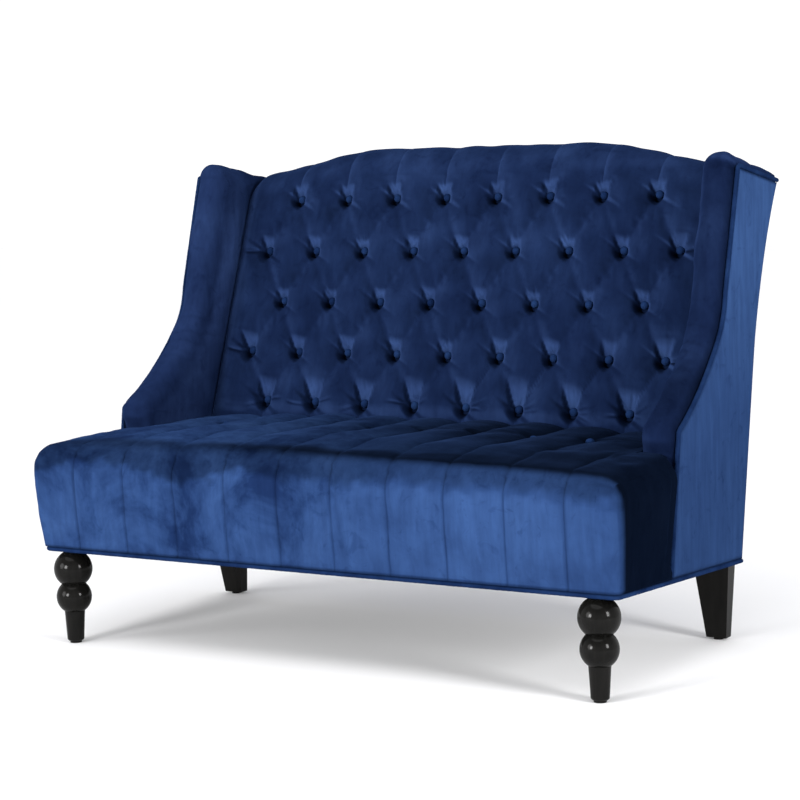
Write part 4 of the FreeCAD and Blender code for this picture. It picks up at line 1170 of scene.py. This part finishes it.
def build_wings():
    grid, points, normals, roll_columns, lengths = wing_grid()
    rows, columns, _ = grid.shape
    surface_normals = grid_normals(grid)
    middle = surface_normals[rows // 2, -5]
    if middle[0] > 0:
        surface_normals = -surface_normals
    surface_normals[:, -1] = surface_normals[:, -2]
    soft = np.ones((rows, columns))
    soft[:, 0] = soft[:, -1] = 0
    soft *= smooth(np.arange(columns) / 4.0)[None, :]
    soft *= smooth((grid[:, :, 2] - 0.425) / 0.03)
    soft *= smooth((tuft(grid[:, :, 2]) - 0.012 - grid[:, :, 1]) / 0.02) + (grid[:, :, 2] > 0.93)
    soft = np.clip(soft, 0, 1)
    surface = grid.copy()
    moved = puffed_grid(surface, surface_normals, 1 - soft, 2, pressure=2.0, frames=12, cap=0.006)
    surface = surface + moved * soft[..., None]
    flat = surface.reshape(-1, 3)
    hand = ripple(flat, 0.10, 21).reshape(rows, columns) * 0.0010
    hand += ripple(flat, 0.030, 22).reshape(rows, columns) * 0.00025
    creases = np.zeros((rows, columns))
    column = np.arange(columns)[None, :]
    for centre, deep, reach, slant in ((0.345, 0.0011, 16, 0.0016), (0.372, 0.0014, 22, 0.0022),
                                       (0.405, 0.0010, 18, 0.0012), (0.300, 0.0008, 14, 0.0016)):
        line = lengths[:, None] - centre - slant * (column - roll_columns) * 0.5
        span = smooth((column - 5) / 5) * smooth((roll_columns + reach - column) / 10)
        creases -= deep * np.exp(-(line / 0.0035) ** 2) * span
    peak_at = lengths[np.argmin(np.linalg.norm(points - np.array(WING_PEAK), axis=1))]
    line = lengths[:, None] - peak_at + 0.004
    creases -= 0.0016 * np.exp(-(line / 0.0022) ** 2) * smooth((roll_columns - 2 - column) / 8)
    surface = surface + surface_normals * ((hand * soft + creases * np.minimum(soft * 3, 1))[..., None])
    surface[:, 0] = grid[:, 0]
    surface[:, :, 1] = np.minimum(surface[:, :, 1], rear(surface[:, :, 2], REAR_GAP))

    hidden = []
    board_inner_x, board_outer_x = 0.6226, 0.6408
    end = surface[:, -1]
    for t in np.linspace(0, 1, 10)[1:]:
        ring = end.copy()
        ring[:, 0] = board_inner_x
        target = points - normals * 0.0072
        ring[:, 1:] = end[:, 1:] + (target - end[:, 1:]) * (0.001 + 0.999 * t)
        hidden.append(ring)
    ring = hidden[-1].copy()
    ring[:, 0] = board_outer_x
    hidden.append(ring)
    loop = np.concatenate([surface, np.stack(hidden, axis=1)], axis=1)
    loop[:, :, 1] = np.minimum(loop[:, :, 1], rear(loop[:, :, 2], REAR_GAP))
    count, width, _ = loop.shape
    cells = ring_quads(count, width)
    cells.append(tuple(range(width)))
    cells.append(tuple((count - 1) * width + j for j in reversed(range(width))))
    # Painted light and shade for the wings: darker next to the welt, towards the back and in the creases; the
    # right wing darker overall with a painted highlight along the roll's inner edge, a lit patch at its foot,
    # a darker band at arm height and a lighter strip along its top; the left wing lighter overall, most on
    # the middle of its inner face, and darker low down.
    shade = np.full((count, width), 0.50)
    shade[:, :7] -= np.linspace(0.20, 0.0, 7)[None, :]
    inner = smooth((surface[:, :, 1] - (tuft(surface[:, :, 2]) - 0.075)) / 0.06)
    shade[:, :columns] -= 0.14 * inner
    shade[:, :columns] += 40.0 * np.clip(creases, -0.004, 0)
    glow = np.exp(-((np.arange(columns) - roll_columns * 0.82) / 4.0) ** 2)
    across = smooth((np.arange(columns) - roll_columns) / 10.0)
    height = surface[:, :, 2]
    lower = smooth((0.95 - height) / 0.30)
    inner_light = across[None, :] * smooth((0.93 - height) / 0.16)
    inner_light = inner_light * (1 - 0.6 * smooth((0.66 - height) / 0.14))
    foot = smooth((0.478 - height) / 0.030) * np.exp(-((column - 15) / 6.0) ** 2)
    arm = np.exp(-((height - 0.535) / 0.035) ** 2) * (column < roll_columns)
    beyond = smooth((lengths - peak_at) / 0.020)[:, None] * smooth((roll_columns - 6 - column) / 6.0)
    for side, cloud in both_sides(placed(loop.reshape(-1, 3))):
        tone = shade.copy()
        if side == "right":
            tone[:, :columns] += 0.26 * glow[None, :] * (1 - 0.4 * lower) - 0.13
            tone[:, :columns] += 0.16 * foot - 0.12 * arm + 0.32 * beyond
        else:
            tone[:, :columns] += 0.08 + 0.34 * inner_light - 0.06 * smooth((0.60 - height) / 0.10)
        new_piece("wing_cover_" + side, cloud, outward(cloud, cells), VELVET_WING_SHADED,
                  ("wing_pad_" + side,), np.clip(tone, 0.02, 1).reshape(-1))


# ---- Outer panels ----

def build_side_panels():
    """Tight velvet over the outer side boards, dipping where it meets the welt."""
    points, _ = wing_line(underside(0.0) + PANEL_LIFT, 0.006, 0.0)
    distinct = np.concatenate([[True], np.linalg.norm(np.diff(points, axis=0), axis=1) > 0.0005])
    points = points[distinct]
    rows = len(points)
    lengths = run_along(points)
    share = lengths / lengths[-1]
    low = underside(BASE_REAR_Y) + PANEL_LIFT
    end_z = low + (WING_REAR_Z - 0.0005 - low) * share
    ends = np.stack([rear(end_z, REAR_GAP), end_z], axis=1)
    steps = np.unique(np.concatenate([np.linspace(0, 0.06, 8), np.linspace(0.06, 0.95, 52),
                                      np.linspace(0.95, 1, 6)]))
    flat = points[:, None, :] + (ends - points)[:, None, :] * steps[None, :, None]
    columns = len(steps)
    reach = np.linalg.norm(ends - points, axis=1)[:, None]
    from_edge = np.minimum(steps[None, :] * reach, (1 - steps[None, :]) * reach)
    from_foot = (flat[:, :, 1] - underside(flat[:, :, 0])) - 0.0080
    from_edge = np.minimum(from_edge, np.maximum(from_foot, 0))
    crown = smooth(from_edge / 0.012) * 0.0040 + smooth(from_edge / 0.10) * 0.0012
    inner_x, face_x, noise_x = 0.6419, 0.6454, 0.6458
    cloud = np.concatenate([np.full((rows, columns, 1), noise_x), flat], axis=2).reshape(-1, 3)
    hand = (ripple(cloud, 0.16, 31) * 0.0005 + ripple(cloud, 0.05, 32) * 0.00012).reshape(rows, columns)
    outer = np.concatenate([(face_x + crown + hand * smooth(from_edge / 0.03))[..., None], flat], axis=2)
    inner = np.concatenate([np.full((rows, columns, 1), inner_x), flat], axis=2)
    loop = np.concatenate([outer, inner[:, ::-1]], axis=1)
    width = 2 * columns
    cells = ring_quads(rows, width)
    for i in (0, rows - 1):
        for j in range(columns - 1):
            a, b = i * width + j, i * width + width - 1 - j
            cell = (a, a + 1, b - 1, b)
            cells.append(cell if i == 0 else tuple(reversed(cell)))
    # Painted light and shade: the panel face lightens towards the top and darkens along its edges.
    rise = 0.10 * smooth((flat[:, :, 1] - 0.30) / 0.55) - 0.03
    face = 0.5 + rise - 0.34 * (1 - smooth(from_edge / 0.008))
    shade = np.concatenate([face, np.full((rows, columns), 0.4)], axis=1)
    for side, cloud in both_sides(placed(loop.reshape(-1, 3))):
        new_piece("side_cover_" + side, cloud, outward(cloud, cells), VELVET_SIDE_LIT,
                  ("wing_panel_" + side,), shade.reshape(-1))


def build_outer_back():
    """Tight velvet over the outer back, turned in and blind stitched round its edge."""
    half, step_x = 0.6402, 0.574
    xs = spaced(-half, half, 0.012, (-half, half, -step_x, step_x), 0.0025, 0.02)
    xs = np.union1d(xs, [-0.5745, -0.5735, 0.5735, 0.5745])
    top = np.where(np.abs(xs) < step_x, crest(xs) - 0.0296, WING_REAR_Z - 0.0060)
    top = np.minimum(top, 0.9582)
    share = np.unique(np.concatenate([np.linspace(0, 0.03, 7), np.linspace(0.03, 0.97, 64),
                                      np.linspace(0.97, 1, 7)]))
    low = underside(BASE_REAR_Y) + PANEL_LIFT
    z = low + (top - low)[None, :] * share[:, None]
    x = np.broadcast_to(xs[None, :], z.shape)
    from_edge = np.minimum(np.minimum(z - low, (top - low)[None, :] * (1 - share[:, None])), half - np.abs(x))
    cloud = np.stack([x, rear(z), z], axis=2)
    hand = (ripple(cloud.reshape(-1, 3), 0.2, 51) * 0.0006).reshape(z.shape)
    pull = 0.0004 * np.sin(x * 2 * math.pi / 0.031) * np.exp(-from_edge / 0.018)
    proud = -0.0034 * (1 - smooth(from_edge / 0.010)) + (hand + pull) * smooth(from_edge / 0.008)
    outer = np.stack([x, rear(z) + proud - 0.0002, z], axis=2)
    inner = np.stack([x, rear(z, 0.0083), z], axis=2)
    rows, columns = z.shape
    points = np.concatenate([outer.reshape(-1, 3), inner.reshape(-1, 3)])
    start = rows * columns
    cells = quads(rows, columns) + [tuple(reversed(f)) for f in quads(rows, columns, start=start)]
    rim = list(range(columns)) + [i * columns + columns - 1 for i in range(1, rows)]
    rim += [(rows - 1) * columns + j for j in reversed(range(columns - 1))]
    rim += [i * columns for i in reversed(range(1, rows - 1))]
    for a, b in zip(rim, rim[1:] + rim[:1]):
        cells.append((a, b, start + b, start + a))
    # Painted shade: the face darkens along its turned-in edge.
    shade = np.concatenate([(0.5 - 0.25 * (1 - smooth(from_edge / 0.006))).reshape(-1), np.full(start, 0.4)])
    points = placed(points)
    new_piece("outer_back_cover", points, outward(points, cells), VELVET_SIDE_LIT, ("back_panel",),
              shade)


# ---- Welts ----

def cord_mesh(path, radius, around=14):
    """A piped cord along path with slight gathers, closed at both ends."""
    path = np.array(path, float)
    along = np.gradient(path, axis=0)
    along /= np.linalg.norm(along, axis=1, keepdims=True)
    side = np.cross(along[:1], np.array([0.577, 0.577, 0.577]))
    lengths = run_along(path)
    reference = side[0] / np.linalg.norm(side[0])
    rings = []
    for k, centre in enumerate(path):
        tangent = along[k]
        reference = reference - tangent * np.dot(reference, tangent)
        reference /= np.linalg.norm(reference)
        other = np.cross(tangent, reference)
        for i in range(around):
            a = 2 * math.pi * i / around
            size = radius * (1 + 0.022 * math.sin(2 * math.pi * lengths[k] / 0.0115 + 2 * a)
                             + 0.016 * math.sin(2 * math.pi * lengths[k] / 0.047 + a))
            rings.append(centre + (reference * math.cos(a) + other * math.sin(a)) * size)
    faces = []
    for k in range(len(path) - 1):
        for i in range(around):
            n = (i + 1) % around
            faces.append((k * around + i, k * around + n, (k + 1) * around + n, (k + 1) * around + i))
    faces.append(tuple(reversed(range(around))))
    faces.append(tuple((len(path) - 1) * around + i for i in range(around)))
    return np.array(rings), faces


def build_welts():
    points, normals = wing_line(underside(0.0) + 0.0115, 0.0030, 0.0)
    lines = points + normals * 0.0049
    keep = np.concatenate([[True], np.linalg.norm(np.diff(lines, axis=0), axis=1) > 0.0008])
    lines = lines[keep & (lines[:, 0] < rear(lines[:, 1]) - 0.0040)]
    cord_x = 0.6461
    path = np.concatenate([np.full((len(lines), 1), cord_x), lines], axis=1)
    rings, faces = cord_mesh(path, WELT_RADIUS)
    # The wing cords take a darker tone than the covers, painted shade for piping sitting between parts.
    for side, cloud in both_sides(placed(rings)):
        new_piece("welt_cover_" + side, cloud, outward(cloud, faces), VELVET_TRIM,
                  ("wing_welt_" + side,), np.full(len(cloud), 0.38))

    lift = WELT_RADIUS + 0.0002
    turn = 0.014
    edge_x = HALF_WIDTH - WELT_RADIUS
    front_y = BASE_FRONT_Y + WELT_RADIUS
    rear_y = float(rear(underside(0.358))) - 0.0030
    flat = [(-edge_x, y) for y in np.arange(rear_y, front_y + turn, -0.003)]
    flat += [(-edge_x + turn - turn * math.cos(a), front_y + turn - turn * math.sin(a))
             for a in np.linspace(0, math.pi / 2, 9)]
    flat += [(x, front_y) for x in np.arange(-edge_x + turn + 0.003, edge_x - turn, 0.003)]
    flat += [(edge_x - turn + turn * math.sin(a), front_y + turn - turn * math.cos(a))
             for a in np.linspace(0, math.pi / 2, 9)]
    flat += [(edge_x, y) for y in np.arange(front_y + turn + 0.003, rear_y, 0.003)]
    path = [(x, y, underside(y) + lift) for x, y in flat]
    rings, faces = cord_mesh(path, WELT_RADIUS)
    cloud = placed(rings)
    # A darker tone here too, painted shade for the base piping.
    new_piece("base_welt_cover", cloud, outward(cloud, faces), VELVET_TRIM, ("base_welt",),
              np.full(len(cloud), 0.44))


finish_frame()
build_back()
build_buttons()
build_seat()
build_wings()
build_side_panels()
build_outer_back()
build_welts()


# ---- Studio ----

def studio():
    bpy.ops.mesh.primitive_plane_add(size=1)
    floor = bpy.context.object
    floor.name = "floor"
    floor.scale = (40, 40, 1)
    material, tree, shader = node_material("floor_paper")
    speck = noise_of(tree, stretched(tree, (1.0, 1.0, 1.0)), 40.0, 3.0, 0.6)
    tree.links.new(ramp_of(tree, speck, ((0.3, (0.86, 0.86, 0.87)), (0.7, (0.89, 0.89, 0.90)))),
                   shader.inputs["Base Color"])
    shader.inputs["Roughness"].default_value = 0.85
    floor.data.materials.append(material)

    world = bpy.data.worlds.new("studio")
    bpy.context.scene.world = world
    world.use_nodes = True
    sky = world.node_tree
    place = sky.nodes.new("ShaderNodeTexCoord")
    parts = sky.nodes.new("ShaderNodeSeparateXYZ")
    sky.links.new(place.outputs["Generated"], parts.inputs["Vector"])
    glow = ramp_of(sky, parts.outputs["Z"], ((0.0, (1.0, 1.0, 1.0)), (0.30, (0.95, 0.95, 0.95)),
                                             (0.75, (0.30, 0.30, 0.31))))
    sky.links.new(glow, sky.nodes["Background"].inputs["Color"])
    sky.nodes["Background"].inputs["Strength"].default_value = 1.12

    def lamp(name, kind, place, target, power, size=None, angle=None):
        light = bpy.data.lights.new(name, kind)
        light.energy = power
        if size:
            light.shape = "RECTANGLE"
            light.size, light.size_y = size
        if angle:
            light.angle = math.radians(angle)
        holder = bpy.data.objects.new(name, light)
        bpy.context.scene.collection.objects.link(holder)
        holder.location = place
        direction = Vector(target) - Vector(place)
        holder.rotation_euler = direction.to_track_quat("-Z", "Y").to_euler()

    lamp("front_box", "AREA", (-1.0, -3.8, 1.1), (0.0, 0.0, 0.25), 110, size=(0.9, 0.9))
    lamp("right_box", "AREA", (3.7, -1.2, 1.5), (0.3, 0.0, 0.4), 110, size=(0.8, 1.2))
    lamp("key", "SUN", (-2.2, -3.0, 1.1), (0.0, 0.0, 0.0), 1.2, angle=26)
    lamp("overhead", "SUN", (-0.2, -0.6, 4.0), (0.0, 0.0, 0.0), 1.6, angle=60)


def camera():
    yaw, pitch, roll = (math.radians(v) for v in (30.5, 6.028, -1.301))
    forward = Vector((-math.sin(yaw) * math.cos(pitch), math.cos(yaw) * math.cos(pitch), -math.sin(pitch)))
    right = Vector((math.cos(yaw), math.sin(yaw), 0.0))
    up = right.cross(forward)
    x_axis = right * math.cos(roll) + up * math.sin(roll)
    y_axis = -right * math.sin(roll) + up * math.cos(roll)
    data = bpy.data.cameras.new("camera")
    data.sensor_width = 36.0
    data.lens = 97.51
    data.clip_end = 100.0
    eye = bpy.data.objects.new("camera", data)
    bpy.context.scene.collection.objects.link(eye)
    turn = Matrix((x_axis, y_axis, -forward)).transposed().to_4x4()
    eye.matrix_world = Matrix.Translation((2.23206, -3.66682 + SHIFT, 0.95505)) @ turn
    bpy.context.scene.camera = eye


studio()
camera()
bpy.context.scene.view_settings.view_transform = "Standard"
